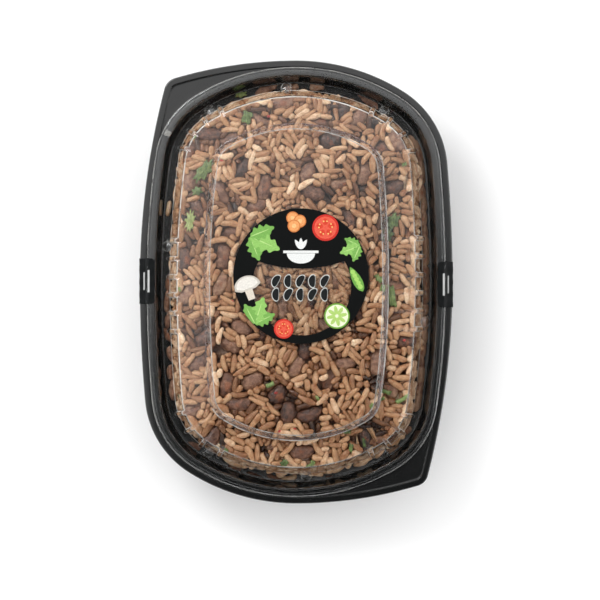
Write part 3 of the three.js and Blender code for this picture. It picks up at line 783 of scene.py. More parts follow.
def raise_bumps(rings, bumps):
    """Presses the round bumps up out of the slope below the knee."""
    foot_inset, foot_height = 10.9, RIM + CHANNEL
    slope = (KNEE[1] - foot_height) / (KNEE[0] - foot_inset)
    for spot in bumps:
        out = at_inset(*spot, BUMP["inset"])[1]
        up = np.array([out[0] * slope, out[1] * slope, 1]) / math.hypot(slope, 1)
        offset = rings - np.array([*spot, foot_height + (BUMP["inset"] - foot_inset) * slope])
        rise = offset @ up
        aside = np.linalg.norm(offset - rise[..., None] * up, axis=-1)
        lift = 1.5 * np.clip(1 - (aside / BUMP["radius"]) ** 4, 0, 1) ** 0.7
        rings += np.where(abs(rise) < 1.5, lift, 0)[..., None] * up


def raise_tick(rings):
    """The short bar across the flat rim, at one corner."""
    spot, out = at_inset(TICK["x"], TICK["y"], TICK["inset"])
    offset = rings[..., :2] - spot
    aside = abs(offset @ np.array([-out[1], out[0]]))
    near = (abs(offset @ out) < 2.2) & (aside < TICK["half"])
    rings[..., 2] += np.where(near, TICK["rise"] * np.clip((TICK["half"] - aside) * 2, 0, 1), 0)


# ---- where the food may lie ----
INNER = thickened(rounded((*LID_EDGE, *LID_WALL_FACE, *LID_TOP)), LID_WALL + 0.1)[:, :2]
INNER = np.vstack([INNER[INNER[:, 0] > 10.2], [200, PANEL[1] - LID_WALL]])


def below_lid(x, y, z):
    """Distance of points to the lid's inner face, and the 3-D way down or inwards from it."""
    inset, out = locate(x, y)
    p = np.stack([inset, z], -1)
    a, b = INNER[:-1], INNER[1:]
    run = b - a
    t = np.clip(((p[:, None] - a) * run).sum(2) / (run**2).sum(1), 0, 1)
    gap = p[:, None] - (a + t[..., None] * run)
    far = np.linalg.norm(gap, axis=2)
    best = np.argmin(far, axis=1)
    rows = np.arange(len(p))
    gap, far, run = gap[rows, best], far[rows, best], run[best]
    side = run[:, 0] * gap[:, 1] - run[:, 1] * gap[:, 0]
    plain = np.stack([run[:, 1], -run[:, 0]], -1) / np.linalg.norm(run, axis=1)[:, None]
    way = np.where((far > 1e-6)[:, None], gap / np.maximum(far, 1e-6)[:, None], plain)
    way = np.where((side > 0)[:, None], -way, way)
    distance = np.where(side > 0, -far, far)
    return distance, np.column_stack([-out * way[:, :1], way[:, 1]])


def tucked(points, room=0.12):
    """Points moved down or inwards where they would lie less than so far under the lid."""
    distance, way = below_lid(*points.T)
    return points + way * np.clip(room - distance, 0, None)[:, None]


def held_by_tray(points):
    """Points moved in from the tray's steep edge and up off its shelf."""
    inset, out = locate(points[:, 0], points[:, 1])
    moved = points.copy()
    moved[:, :2] -= out * np.clip(CHANNEL_EDGE - inset, 0, None)[:, None]
    levels = [level[:2] for level in TRAY_FACE[FIRST_SHELF_LEVEL:]]
    shelf = np.interp(np.maximum(inset, CHANNEL_EDGE), *zip(*levels))
    moved[:, 2] = np.maximum(points[:, 2], shelf + 0.1)
    return moved


def lid_height(x, y):
    """Height of the lid's inner face over points."""
    inset = locate(np.asarray(x, float), np.asarray(y, float))[0]
    order = np.argsort(INNER[:, 0], kind="stable")
    return np.interp(inset, INNER[order, 0], INNER[order, 1])


# ---- packing ----
BEADS = np.array([-1, -1 / 3, 1 / 3, 1])  # spheres along each grain, as shares of its half length
# Half of the cells round a cell, and itself, so that each pair of cells is met once.
HALF_NEIGHBOURS = [
    (x, y, z) for x in (0, 1) for y in (-1, 0, 1) for z in (-1, 0, 1) if (x, y, z) >= (0, 0, 0)
]


def beads_along(centre, axis, half):
    """The centres of the spheres along each grain."""
    return (centre[:, None] + axis[:, None] * (BEADS[:, None] * half)).reshape(-1, 3)


def axes_at(turn, tilt):
    """Unit directions from turns about Z and tilts up from the level."""
    return np.column_stack([np.cos(turn) * np.cos(tilt), np.sin(turn) * np.cos(tilt), np.sin(tilt)])


def spill(x, y):
    """How far the food spills on to the shelf at points, from 0 to 1."""
    shares = [1.5 - np.hypot(x - sx, y - sy) / reach / 0.9 for sx, sy, reach in SPILLS]
    return np.clip(2 * np.max(shares, axis=0), 0, 1)


def leaf_room(x, y):
    """How far below the lid the food must stay at points, so that the leaves lie on top of it."""
    room = np.zeros(np.shape(x))
    for at_x, at_y, length, width, turn, *_ in LEAVES:
        c, s = math.cos(math.radians(turn)), math.sin(math.radians(turn))
        along, across = (x - at_x) * c + (y - at_y) * s, (y - at_y) * c - (x - at_x) * s
        far = np.hypot(along / (length / 2 + 0.4), across / (width / 2 + 0.4))
        room = np.maximum(room, 1.35 * np.clip((1.15 - far) / 0.3, 0, 1))
    return room


def hollow(x, y):
    """How deep the heap's face is sunk at points."""
    deep = np.zeros(np.shape(x))
    for at_x, at_y, reach, depth in HOLLOWS:
        deep = np.maximum(deep, depth * np.clip(1.25 - np.hypot(x - at_x, y - at_y) / reach, 0, 1))
    return deep


def near_pairs(points, reach):
    """Numbers of the pairs of points that share a cell or lie in cells that touch."""
    cells = np.floor(points / reach).astype(np.int64)
    cells -= cells.min(0) - 1
    size = cells.max(0) + 2
    key = (cells[:, 0] * size[1] + cells[:, 1]) * size[2] + cells[:, 2]
    order = np.argsort(key, kind="stable")
    ranked = key[order]
    firsts, seconds = [], []
    for x, y, z in HALF_NEIGHBOURS:
        other = ranked + (x * size[1] + y) * size[2] + z
        start, stop = np.searchsorted(ranked, other), np.searchsorted(ranked, other, "right")
        count = stop - start
        first = np.repeat(np.arange(len(points)), count)
        skipped = np.repeat(np.cumsum(count) - count, count)
        second = np.repeat(start, count) + np.arange(len(first)) - skipped
        if (x, y, z) == (0, 0, 0):
            first, second = first[first < second], second[first < second]
        firsts.append(order[first])
        seconds.append(order[second])
    return np.concatenate(firsts), np.concatenate(seconds)


def settle(centre, axis, half, radius, still, still_radius, steps):
    """Presses grains up against the lid and apart from each other and from what lies still."""
    owner = np.repeat(np.arange(len(centre)), len(BEADS))
    size = np.repeat(radius, len(BEADS))
    for step in range(steps):
        beads = beads_along(centre, axis, half[:, None, None])
        distance, way = below_lid(*beads.T)
        pull = np.clip(distance - size, 0, 0.1) * (1.0 if step < steps - 8 else 0.0)
        move = -way * pull[:, None]
        first, second = near_pairs(beads, 2 * radius.max())
        other = owner[first] != owner[second]
        first, second = first[other], second[other]
        gap = beads[first] - beads[second]
        far = np.maximum(np.linalg.norm(gap, axis=1), 1e-6)
        push = size[first] + size[second] - far
        hit = push > 0
        first, second, push = first[hit], second[hit], push[hit]
        shove = gap[hit] / far[hit][:, None] * push[:, None] * 0.3
        for k in range(3):
            move[:, k] += np.bincount(first, shove[:, k], len(beads))
            move[:, k] -= np.bincount(second, shove[:, k], len(beads))
        for block in range(0, len(still), 40):
            here = slice(block, block + 40)
            gap = beads[:, None] - still[None, here]
            far = np.linalg.norm(gap, axis=2)
            push = np.clip(size[:, None] + still_radius[None, here] - far, 0, 1.0)
            move += (gap / np.maximum(far, 1e-6)[..., None] * push[..., None] * 0.6).sum(1)
        length = np.linalg.norm(move, axis=1)
        move *= (np.minimum(length, 0.8) / np.maximum(length, 1e-9))[:, None]
        beads += move
        distance, way = below_lid(*beads.T)
        room = np.maximum(leaf_room(*beads[:, :2].T), hollow(*beads[:, :2].T))
        beads += way * np.clip(size + 0.05 + room - distance, 0, None)[:, None]
        inset, out = locate(beads[:, 0], beads[:, 1])
        edge = np.interp(spill(beads[:, 0], beads[:, 1]), [0, 1], [14.3, 12.0])
        beads[:, :2] -= out * np.clip(edge + size - inset, 0, None)[:, None]
        beads = beads.reshape(len(centre), len(BEADS), 3)
        centre = beads.mean(1)
        turned = ((beads - centre[:, None]) * BEADS[:, None]).sum(1)
        axis = turned / np.linalg.norm(turned, axis=1)[:, None]
    return centre, axis


def scatter(count):
    """Starting places of grains, spread under the ledge and the panel and behind the dome's wall."""
    on_wall = int(count * 0.23)
    x = random.uniform(-HALF_WIDTH, HALF_WIDTH, 6 * count)
    y = random.uniform(-HALF_LENGTH, HALF_LENGTH, 6 * count)
    inset, out = locate(x, y)
    top = np.flatnonzero(inset > SHOULDER[0] + 1)[:count - on_wall]
    wall = np.flatnonzero((inset > KNEE[0]) & (inset < SHOULDER[0] + 1))[:on_wall]
    z = np.empty(len(x))
    z[top] = lid_height(x[top], y[top]) - random.uniform(1.3, FOOD_DEPTH, len(top))
    z[wall] = random.uniform(RIM + 0.5, SHOULDER[1] - 1.5, len(wall))
    level = np.interp(z[wall], [KNEE[1], SHOULDER[1]], [KNEE[0] + 1.6, SHOULDER[0] + 1.6])
    slide = inset[wall] - level - random.uniform(0, 1.5, len(wall))
    x[wall] += out[wall, 0] * slide
    y[wall] += out[wall, 1] * slide
    low = np.flatnonzero((inset > 12.6) & (inset < 14.4) & (spill(x, y) > 0.6))[:SPILLED_GRAINS]
    z[low] = lid_height(x[low], y[low]) - 1.6
    chosen = np.concatenate([top[:-SPILLED_GRAINS], wall, low])
    return np.column_stack([x, y, z])[chosen]


def drifting_axes(places):
    """Directions that drift over the heap, so that neighbours lie roughly side by side."""
    lean = np.array([noise.noise(Vector((x / 9, y / 9, z / 6))) for x, y, z in places])
    turn = lean * 7 + random.normal(0, 0.75, len(places))
    return axes_at(turn, random.normal(0, 0.2, len(places)))


# ---- rice and beans ----
def seed_shape(sides, stations, fatness):
    """A seed about the x axis from -1 to 1, one unit across, as points and faces."""
    angles = np.arange(sides) * 2 * math.pi / sides
    rings = [
        (t, r * math.cos(a) / 2, r * math.sin(a) / 2) for t, r in zip(stations, fatness) for a in angles
    ]
    points = np.array([(-1, 0, 0), *rings, (1, 0, 0)], float)
    number = 1 + np.arange(len(rings)).reshape(-1, sides)
    quads = ring_grid(number)
    last = len(points) - 1
    ends = np.concatenate([
        np.stack([np.zeros(sides, int), np.roll(number[0], -1), number[0]], -1)[:, ::-1],
        np.stack([np.full(sides, last), np.roll(number[-1], -1), number[-1]], -1),
    ])
    return points, [quads[:, ::-1], ends[:, ::-1]]


def laid_out(shape, centre, axis, size, bend, taper, roll, rough=0.0):
    """Copies of a shape at places, each with its own size, bend, taper, roll and swellings."""
    points, faces = shape
    count = len(centre)
    local = np.repeat(points[None], count, 0)
    t = local[:, :, 0].copy()
    local[:, :, 1:] *= (1 + taper[:, None] * t)[..., None]
    if rough:
        around = np.arctan2(points[:, 2], points[:, 1])[None]
        a, b, c = random.uniform(0, 2 * math.pi, (3, count, 1))
        swell = np.sin(3.6 * t + a) + 0.8 * np.sin(2 * around + b) + 0.9 * np.sin(7 * t + 3 * around + c)
        local[:, :, 1:] *= (1 + rough * swell)[..., None]
    local *= size[:, None] * (0.5, 1, 1)
    local[:, :, 1] += bend[:, None] * (0.5 - t * t)
    side = np.cross(axis, (0.13, 0.07, 1.0))
    side /= np.linalg.norm(side, axis=1)[:, None]
    up = np.cross(side, axis)
    c, s = np.cos(roll)[:, None], np.sin(roll)[:, None]
    frames = np.stack([axis, side * c + up * s, up * c - side * s], 1)
    placed = np.einsum("npi,nij->npj", local, frames) + centre[:, None]
    steps = (np.arange(count) * len(points))[:, None, None]
    return placed.reshape(-1, 3), [(f[None] + steps).reshape(-1, f.shape[1]) for f in faces]


def grain_mesh(name, centre, axis, length, width, sides):
    stations = (-0.985, -0.88, -0.58, -0.1, 0.35, 0.68, 0.88, 0.99)
    fatness = (0.36, 0.72, 0.96, 1.04, 1.02, 0.88, 0.62, 0.28)
    shape = seed_shape(sides, stations, fatness)
    count = len(centre)
    size = np.column_stack([length, width, width * random.uniform(0.8, 0.95, count)])
    bend = random.uniform(-0.8, 0.8, count) * (length / GRAIN["length"])
    taper, roll = random.uniform(-0.26, 0.26, count), random.uniform(-0.6, 0.6, count)
    points, faces = laid_out(shape, centre, axis, size, bend, taper, roll, 0.06)
    tip = abs(np.tile(shape[0][:, 0], count)) ** 6
    # Painted shade and light in the tint: grains deeper under the lid and in the hollows darker, grains by
    # the dome's wall lighter.
    deep = np.clip((lid_height(*centre[:, :2].T) - centre[:, 2] - 1.75) / 1.7, 0, 1)
    deep = np.where(locate(*centre[:, :2].T)[0] < 20, -0.4, deep)
    tint = random.normal(0.7, 0.14, count) - 0.4 * deep - 0.28 * hollow(*centre[:, :2].T)
    tint = np.repeat(np.clip(tint, 0, 1), len(shape[0]))
    belong(new_mesh(name, held_by_tray(points), faces, rice(name), tint=tint, tip=tip), "rice")


def buried_beans():
    """More beans, deeper in the heap and clear of the others."""
    made = []
    while len(made) < BURIED_BEANS:
        x, y = random.uniform(-52, 52), random.uniform(-85, 85)
        near = min(math.hypot(x - other[0], y - other[1]) for other in (*BEANS, *made))
        if near > 8.5 and locate(np.array([x]), np.array([y]))[0][0] > 23:
            made.append((x, y, random.uniform(0, 180), random.uniform(0.6, 2.2)))
    return tuple(made)


def make_beans():
    """The beans, and the spheres that keep grains out of them."""
    stations = -np.cos(np.linspace(0, math.pi, 15)[1:-1])
    fatness = (1 - stations**2) ** 0.44
    shape = seed_shape(18, stations, fatness)
    rows = np.array(BEANS + buried_beans())
    count = len(rows)
    size = np.array([*BEAN.values()]) * random.uniform(0.9, 1.12, (count, 3))
    axis = axes_at(np.radians(rows[:, 2]), random.normal(0, 0.1, count))
    reach = size[:, 0] * 0.3
    heights = []
    for share in (-1, 0, 1):
        at = rows[:, :2] + axis[:, :2] * reach[:, None] * share
        heights.append(lid_height(*at.T) - leaf_room(*at.T) - axis[:, 2] * reach * share)
    z = np.min(heights, axis=0) - size[:, 2] / 2 - 0.15 - rows[:, 3]
    centre = np.column_stack([rows[:, :2], z])
    bend, taper = random.uniform(0.5, 1.5, count), random.uniform(-0.1, 0.1, count)
    roll = random.uniform(-0.3, 0.3, count)
    points, faces = laid_out(shape, centre, axis, size, bend, taper, roll)
    wobble(points, (0.55, 3.4), (0.3, 1.4))
    # Beans in the hollows are painted darker as shade.
    tint = random.uniform(0.1, 1, count) - 0.35 * hollow(*rows[:, :2].T)
    skin = bean_skin()
    bean_mesh("beans", tucked(points), faces, skin, tint, shape)
    make_shelf_beans(shape, skin)
    return beads_along(centre, axis, size[:, :1, None] / 2 - 3.3), np.repeat(size[:, 1] * 0.46, len(BEADS))


def bean_mesh(name, points, faces, skin, tint, shape):
    tints = np.repeat(tint, len(shape[0]))
    belong(new_mesh(name, points, faces, skin, tint=tints, scar=scars(shape, len(tint))), "beans")


def scars(shape, count):
    """Where each bean's skin is rubbed rusty: a spot on its upper side, on some large, on some none."""
    t, across, up = shape[0].T
    spot = np.clip(1 - np.hypot(t / 0.5, across / 0.26), 0, 1) * (up > 0)
    return (spot[None] * random.uniform(-0.3, 1.3, (count, 1))).ravel()


def make_shelf_beans(shape, skin):
    """Squashed beans in the gap between the tray's shelf and the slope under the dome."""
    rows = [*SHELF_BEANS]
    for side, inset, first, last, step, length, width in SHELF_ROWS:
        for y in np.arange(first, last, step):
            rows.append((*at_inset(side * (HALF_WIDTH - inset), y, inset)[0], length, width))
    rows = np.array(rows)
    count = len(rows)
    out = locate(rows[:, 0], rows[:, 1])[1]
    rows[:, 2] *= random.uniform(0.85, 1.3, count)
    lean = random.normal(0, 0.3, count)[:, None]
    along = np.column_stack([-out[:, 1], out[:, 0]]) + out * lean
    axis = np.column_stack([along, np.zeros(count)]) / np.linalg.norm(along, axis=1)[:, None]
    roof = lid_height(rows[:, 0], rows[:, 1])
    deep = np.minimum(roof - SHELF - 1.2, 4.0)
    flat = rows[:, :2] + out * random.uniform(-0.8, 0.5, (count, 1))
    centre = np.column_stack([flat, roof - 0.9 - deep / 2])
    size = np.column_stack([rows[:, 2], rows[:, 3], deep])
    bend, taper = random.uniform(0.2, 0.8, count), random.uniform(-0.15, 0.15, count)
    points, faces = laid_out(shape, centre, axis, size, bend, taper, np.zeros(count))
    wobble(points, (0.5, 2.6), (0.25, 1.1))
    # Painted light: the shelf beans are lighter than the others, those on the right lighter still, to read
    # as lit down in the gap.
    tint = random.uniform(0.35, 1.15, count) + 0.4 * (rows[:, 0] > 50)
    bean_mesh("shelf_beans", tucked(held_by_tray(points)), faces, skin, tint, shape)


def rib_grains():
    """Grains squeezed up into the ribs of the lid's wall: centres and axes."""
    low, high = (
        np.array([(*at_inset(*spot, inset)[0], height) for spot in rib_and_bump_places()[0]])
        for inset, height in ((14.75, RIM + 1.2), (17.15, RIM + 8.8))
    )
    return (low + high) / 2, (high - low) / np.linalg.norm(high - low, axis=1)[:, None]


def lone_grains():
    """The grains that lie alone on the tray's shelf."""
    rows = np.array(SHELF_GRAINS)
    centre = np.column_stack([rows[:, :2], np.full(len(rows), SHELF + 1.3)])
    return centre, axes_at(np.radians(rows[:, 2]), np.zeros(len(rows)))


def make_pressed_rice(bean_beads, bean_sizes):
    """Rice pressed flat behind the dome's wall, between the grains there, as uneven steps."""
    oval = points, normals = whole_ring(BODY_TAB, even_shares(200))
    steps, levels = 5, 26
    drift = 1.1 * wander(points, 5, 4) + 0.7 * wander(points, 1.7, 1)
    rings = []
    for level in range(levels):
        climb = np.clip(steps * level / (levels - 1) + drift, 0, steps)
        part = climb % 1
        inward = np.floor(climb) + np.clip(2 * part, 0, 1)
        upward = np.floor(climb) + np.clip(2 * part - 1, 0, 1)
        inset = KNEE[0] + 1.5 + (SHOULDER[0] + 0.3 - KNEE[0]) * inward / steps
        rings.append(ring_at(oval, inset, KNEE[1] - 0.6 + (SHOULDER[1] - 1.1 - KNEE[1]) * upward / steps))
    rings.append(ring_at(oval, SHOULDER[0] + 2.2, SHOULDER[1] - 4.0))
    rings.append(ring_at(oval, KNEE[0] + 4.5, KNEE[1] - 1.2))
    rings = np.array(rings)
    for bead, radius in zip(bean_beads, bean_sizes):
        offset = rings - bead
        ahead = (offset[..., :2] * normals).sum(-1)
        square = ahead**2 - (offset**2).sum(-1) + (radius + 0.8) ** 2
        cut = (square > 0) & (ahead < radius + 2)
        behind = np.where(cut, ahead + np.sqrt(np.abs(square)), 0)
        rings[..., :2] -= normals * np.maximum(behind, 0)[..., None]
    points, faces = closed_tube(rings)
    # Painted light: a high tint, lightest low on the wall, makes the pressed rice read as lit behind the
    # dome's wall.
    painted_light_tint = np.interp(points[:, 2], [SHOULDER[1] - 4, SHOULDER[1] - 1.8], [1.0, 0.6])
    finish = rice("pressed_rice", 1.6, 0.3)
    belong(new_mesh("pressed_rice", points, [faces], finish, tint=painted_light_tint, tip=0 * painted_light_tint), "rice")


def make_grains(still, still_radius):
    """The grains, kept out of the spheres that lie still."""
    count = WHOLE_GRAINS + BROKEN_GRAINS
    centre = scatter(count)
    random.shuffle(centre)
    axis = drifting_axes(centre)
    full, short = random.normal(GRAIN["length"], 0.9, count), random.uniform(3.2, 6.4, count)
    length = np.where(np.arange(count) < WHOLE_GRAINS, full, short)
    width = np.clip(random.normal(GRAIN["width"], 0.25, count), 2.1, 3.5)
    half = np.maximum(length / 2 - width / 2, 0.3)
    held, held_axis = rib_grains()
    beads = beads_along(held, held_axis, 3.2)
    still = np.vstack([still, beads])
    still_radius = np.concatenate([still_radius, np.full(len(beads), 0.75)])
    steps = 70
    centre, axis = settle(centre, axis, half, width * 0.46, still, still_radius, steps)
    alone, alone_axis = lone_grains()
    centre, axis = np.vstack([held, alone, centre]), np.vstack([held_axis, alone_axis, axis])
    first = len(held) + len(alone)
    length = np.concatenate([np.full(len(held), 8.2), np.full(len(alone), 7.6), length])
    width = np.concatenate([np.full(len(held), 1.75), np.full(len(alone), 2.5), width])
    whole = np.arange(len(centre)) < first + WHOLE_GRAINS
    for name, chosen, sides in (("rice_grains", whole, 8), ("broken_grains", ~whole, 6)):
        grain_mesh(name, centre[chosen], axis[chosen], length[chosen], width[chosen], sides)


# The core's side from its top to its foot: inset and height.
CORE_SLOPE = (
    (22.5, RIM + 7.5), (20.6, RIM + 5.5), (18.8, RIM + 1.5), (17.0, RIM - 3.0), (15.8, SHELF - 1.6),
    (16.2, SHELF - 3.5), (18.4, 7.2), (20.2, 3.9), (24.0, 2.4),
)


def make_core():
    """The heap under the loose grains, with relief of a grain's size."""
    shares = even_shares(90)
    body = whole_ring(BODY_TAB, shares)
    top = body[0] - body[1] * 23.5
    rings = []
    for share in np.linspace(0.02, 1, 40):
        rings.append(np.column_stack([top * share, lid_height(*(top * share).T) - FOOD_DEPTH + 1.2]))
    rings.extend(ring_stack(rounded([(*level, 0, 2.0) for level in CORE_SLOPE], 3), body, body))
    points, faces = closed_shell(np.array(rings))
    lumps = np.array([noise.noise(Vector(p / 2.3)) + 0.6 * noise.noise(Vector(p / 5)) for p in points])
    out = locate(points[:, 0], points[:, 1])[1]
    loose = np.clip((points[:, 2] - 12) / 6, 0, 1)
    points[:, 2] += 1.1 * lumps * loose
    points[:, :2] -= out * (0.35 * abs(lumps) * loose)[:, None]
    belong(new_mesh("food_core", points, faces, food_core_surface()), "rice", "rice_and_beans")


def make_sauce_and_shade():
    """Thin dark sauce under the panel's step, wide here and narrow there, which is also painted shade for
    the gap under the step.
    """
    oval = whole_ring(BODY_TAB, even_shares(120))
    points = oval[0]
    profile = rounded((*LID_EDGE, *LID_WALL_FACE, *LID_TOP))
    profile = profile[profile[:, 0] > 25]
    layers = [thickened(profile, LID_WALL + gap) for gap in (0.06, 0.24)]
    far = run_length(profile)
    start = far[np.argmin(np.linalg.norm(profile[:, :2] - PANEL_FOOT, axis=1))] - 0.2
    wide = 0.7 + 0.016 * points[:, 0] + 2.4 * wander(points, 11, 3) + wander(points, 3, 8)
    wide = np.clip(wide, 0.05, 2.4)
    rings = []
    for layer, shares in zip(layers, (np.linspace(0, 1, 7), np.linspace(0.98, 0.02, 7))):
        for share in shares:
            rings.append(ring_at(oval, *at_lengths(layer[:, :2], far, start + wide * share).T))
    points, faces = closed_tube(np.array(rings))
    belong(new_mesh("sauce_and_shade_film", points, [faces[:, ::-1]], sauce_and_shade_surface()), "beans")


# ---- label ----
def slab(outline, holes=(), z0=0.0, z1=0.05):
    """Points and faces of a flat closed body inside an outline, with holes."""
    loops = [np.asarray(loop, float) for loop in (outline, *holes)]
    flat = np.concatenate(loops)
    corners = [[Vector((*p, 0)) for p in loop] for loop in loops]
    triangles = np.array(geometry.tessellate_polygon(corners))
    a, b, c = (flat[triangles[:, i]] for i in range(3))
    turned = (b[:, 0] - a[:, 0]) * (c[:, 1] - a[:, 1]) - (b[:, 1] - a[:, 1]) * (c[:, 0] - a[:, 0]) < 0
    triangles[turned] = triangles[turned][:, ::-1]
    count = len(flat)
    points = np.vstack([np.column_stack([flat, np.full(count, z)]) for z in (z1, z0)])
    sides, start = [], 0
    for loop in loops:
        n = np.arange(len(loop))
        here, after = start + n, start + (n + 1) % len(loop)
        area = np.sum(loop[:, 0] * np.roll(loop[:, 1], -1) - np.roll(loop[:, 0], -1) * loop[:, 1])
        outer = start == 0
        if (area > 0) != outer:
            here, after = after, here
        sides.append(np.stack([here + count, after + count, after, here], -1))
        start += len(loop)
    return points, [np.vstack([triangles, triangles[:, ::-1] + count]), np.concatenate(sides)]


def circle(x, y, radius, count=72, squash=1.0, turn=0.0):
    angles = np.arange(count) * 2 * math.pi / count
    points = np.column_stack([radius * np.cos(angles), radius * squash * np.sin(angles)])
    return spun(points, turn) + (x, y)


def spun(points, degrees):
    c, s = math.cos(math.radians(degrees)), math.sin(math.radians(degrees))
    return np.asarray(points, float) @ np.array([[c, s], [-s, c]])


LABEL_LOW, LABEL_HIGH = mm_box("label")
LABEL_AT = (LABEL_LOW[:2] + LABEL_HIGH[:2]) / 2
LABEL_RADIUS = (LABEL_HIGH[0] - LABEL_LOW[0]) / 2
FILM_Z = PANEL[1] + 0.04
PRINT_Z = FILM_Z + 0.07


def label_window():
    """The clear window: a circle cut off above by a shallow arc."""
    centre, radius = np.array([0.4, -4.6]), 23.2
    arc_middle, arc_radius = np.array([0, 63.5]), 60.0
    points = []
    for angle in np.radians(np.arange(-270, 90, 2.5)):
        p = centre + radius * np.array([math.cos(angle), math.sin(angle)])
        below = arc_middle[1] - math.sqrt(arc_radius**2 - (p[0] - arc_middle[0]) ** 2)
        points.append((p[0], min(p[1], below)))
    return np.array(points)


class Print:
    """Flat printed shapes, stacked in layers, as one mesh with a colour at each point."""

    def __init__(self):
        self.points, self.faces, self.inks, self.layer = [], [[], []], [], 0

    def add(self, outline, colour):
        z0 = PRINT_Z + 0.05 + 0.004 * self.layer
        points, faces = slab(self.clip(outline), (), z0, z0 + 0.02)
        start = sum(len(p) for p in self.points)
        self.points.append(points + (*LABEL_AT, 0))
        for kept, new in zip(self.faces, faces):
            kept.append(new + start)
        self.inks.append(np.tile(linear(*colour), (len(points), 1)))
        self.layer += 1

    def disc(self, x, y, radius, colour, *shape):
        self.add(circle(x, y, radius, *shape), colour)

    def clip(self, outline):
        """Keeps the shape inside the label's edge."""
        outline = np.asarray(outline, float)
        reach = np.linalg.norm(outline, axis=1)
        return outline * np.minimum(1, (LABEL_RADIUS - 0.15) / reach)[:, None]

    def piece(self, name):
        return new_mesh(
            name, np.vstack(self.points), [np.vstack(f) for f in self.faces], ink("print_ink"),
            smooth=False, ink=np.vstack(self.inks),
        )


def leaf_outline(length, width, lobes, depth, turn, x, y):
    """A lobed leaf along its own axis, from its stalk at (x, y)."""
    t = np.linspace(0, 1, 12 * lobes + 1)
    body = np.sin(math.pi * t**0.8) ** 0.7
    edge = width / 2 * body * (1 - depth * (0.5 - 0.5 * np.cos(2 * math.pi * lobes * t)))
    upper = np.column_stack([length * t, edge])
    lower = np.column_stack([length * t, -edge])[::-1][1:-1]
    return spun(np.vstack([upper, lower]), turn) + (x, y)


def polar(angle, reach):
    return reach * math.cos(math.radians(angle)), reach * math.sin(math.radians(angle))


def sprig(sheet, x, y, size, turn):
    """Three lobed leaves from one stalk, each with a paler rib."""
    for i in range(3):
        lean = turn + (i - 1) * 46
        length = size * (1 if i == 1 else 0.8)
        sheet.add(leaf_outline(length, length * 0.62, 4, 0.38, lean, x, y), LEAF_GREENS[i % 2])
        sheet.add(leaf_outline(length * 0.8, 0.5, 1, 0, lean, x, y), LEAF_GREENS[2])


def tomato(sheet, x, y, size):
    sheet.disc(x, y, size, (196, 52, 44))
    sheet.disc(x, y, size * 0.84, (219, 92, 72))
    for i in range(5):
        angle = 72 * i + 20
        px, py = polar(angle, size * 0.46)
        sheet.disc(x + px, y + py, size * 0.25, (206, 66, 48), 24, 0.75, angle)
        for k in (-1, 1):
            sx, sy = polar(angle + 14 * k, size * 0.5)
            sheet.disc(x + sx, y + sy, size * 0.06, (236, 196, 120), 10)


def mushroom(sheet, x, y, size, turn):
    bell = np.linspace(0, math.pi, 30)
    cap = np.column_stack([np.cos(bell), 0.85 * np.sin(bell)]) * size
    cap = np.vstack([cap, [(-0.55 * size, -0.22 * size), (0.55 * size, -0.22 * size)]])
    stem = np.array([(-0.3, 0.1), (-0.26, -0.95), (0.26, -0.95), (0.3, 0.1)]) * size
    sheet.add(spun(stem, turn) + (x, y), (214, 204, 190))
    sheet.add(spun(cap, turn) + (x, y), (196, 190, 180))
    sheet.add(spun(cap * (0.82, 0.78) + (0, size * 0.08), turn) + (x, y), (222, 218, 210))


def carrot_coins(sheet, x, y, size):
    for i, (dx, dy) in enumerate(((0, 0), (size * 1.1, -size * 0.5), (size * 0.2, -size * 1.25))):
        sheet.disc(x + dx, y + dy, size, (202, 122, 68))
        sheet.disc(x + dx, y + dy, size * 0.82, (226, 156, 98))
        sheet.disc(x + dx, y + dy, size * 0.36, (236, 186, 130), 9, 0.9, 20 * i)


def lime(sheet, x, y, size):
    sheet.disc(x, y, size, (110, 158, 62))
    sheet.disc(x, y, size * 0.88, (226, 232, 200))
    for i in range(8):
        angle = 45 * i + 10
        px, py = polar(angle, size * 0.46)
        sheet.disc(x + px, y + py, size * 0.34, (168, 200, 110), 20, 0.42, angle)


def pea_pod(sheet, x, y, size, turn):
    sheet.add(leaf_outline(size, size * 0.34, 1, 0, turn, x, y), (108, 160, 74))
    for i in range(5):
        px, py = polar(turn, size * (0.2 + 0.15 * i))
        sheet.disc(x + px, y + py, size * 0.085, (160, 204, 104), 16)


def bowl_sign(sheet, x, y, size):
    """A plain bowl with three leaves over it, where a name would stand."""
    arc = np.linspace(math.pi, 2 * math.pi, 30)
    sheet.add(np.column_stack([np.cos(arc), 0.72 * np.sin(arc)]) * size + (x, y), SIGN_WHITE)
    brim = np.array([(-1.25, 0.02), (1.25, 0.02), (1.25, 0.2), (-1.25, 0.2)])
    sheet.add(brim * size + (x, y), SIGN_WHITE)
    for lean in (58, 90, 122):
        sheet.add(leaf_outline(size * 0.8, size * 0.3, 1, 0, lean, x, y + size * 0.3), SIGN_WHITE)


def bean_rows(sheet, x, y, pitch, size):
    """Two rows of outlined bean shapes in the window."""
    columns = 5
    for row in range(2):
        for i in range(columns):
            spot = x + (i - (columns - 1) / 2) * pitch, y - row * pitch * 1.1
            lean = 62 + 26 * ((i + row) % 2)
            sheet.add(spun(kidney(size * 1.16), lean) + spot, (196, 198, 194))
            sheet.add(spun(kidney(size), lean) + spot, (28, 30, 31))


def kidney(size):
    angles = np.arange(36) * math.pi / 18
    x, y = size * np.cos(angles), 0.62 * size * np.sin(angles)
    return np.column_stack([x, y + 0.28 * size * (1 - (x / size) ** 2) * np.where(y < 0, 1, 0.35)])


LEAF_GREENS = ((118, 168, 84), (140, 188, 100), (176, 212, 132))
SIGN_WHITE = (222, 224, 222)
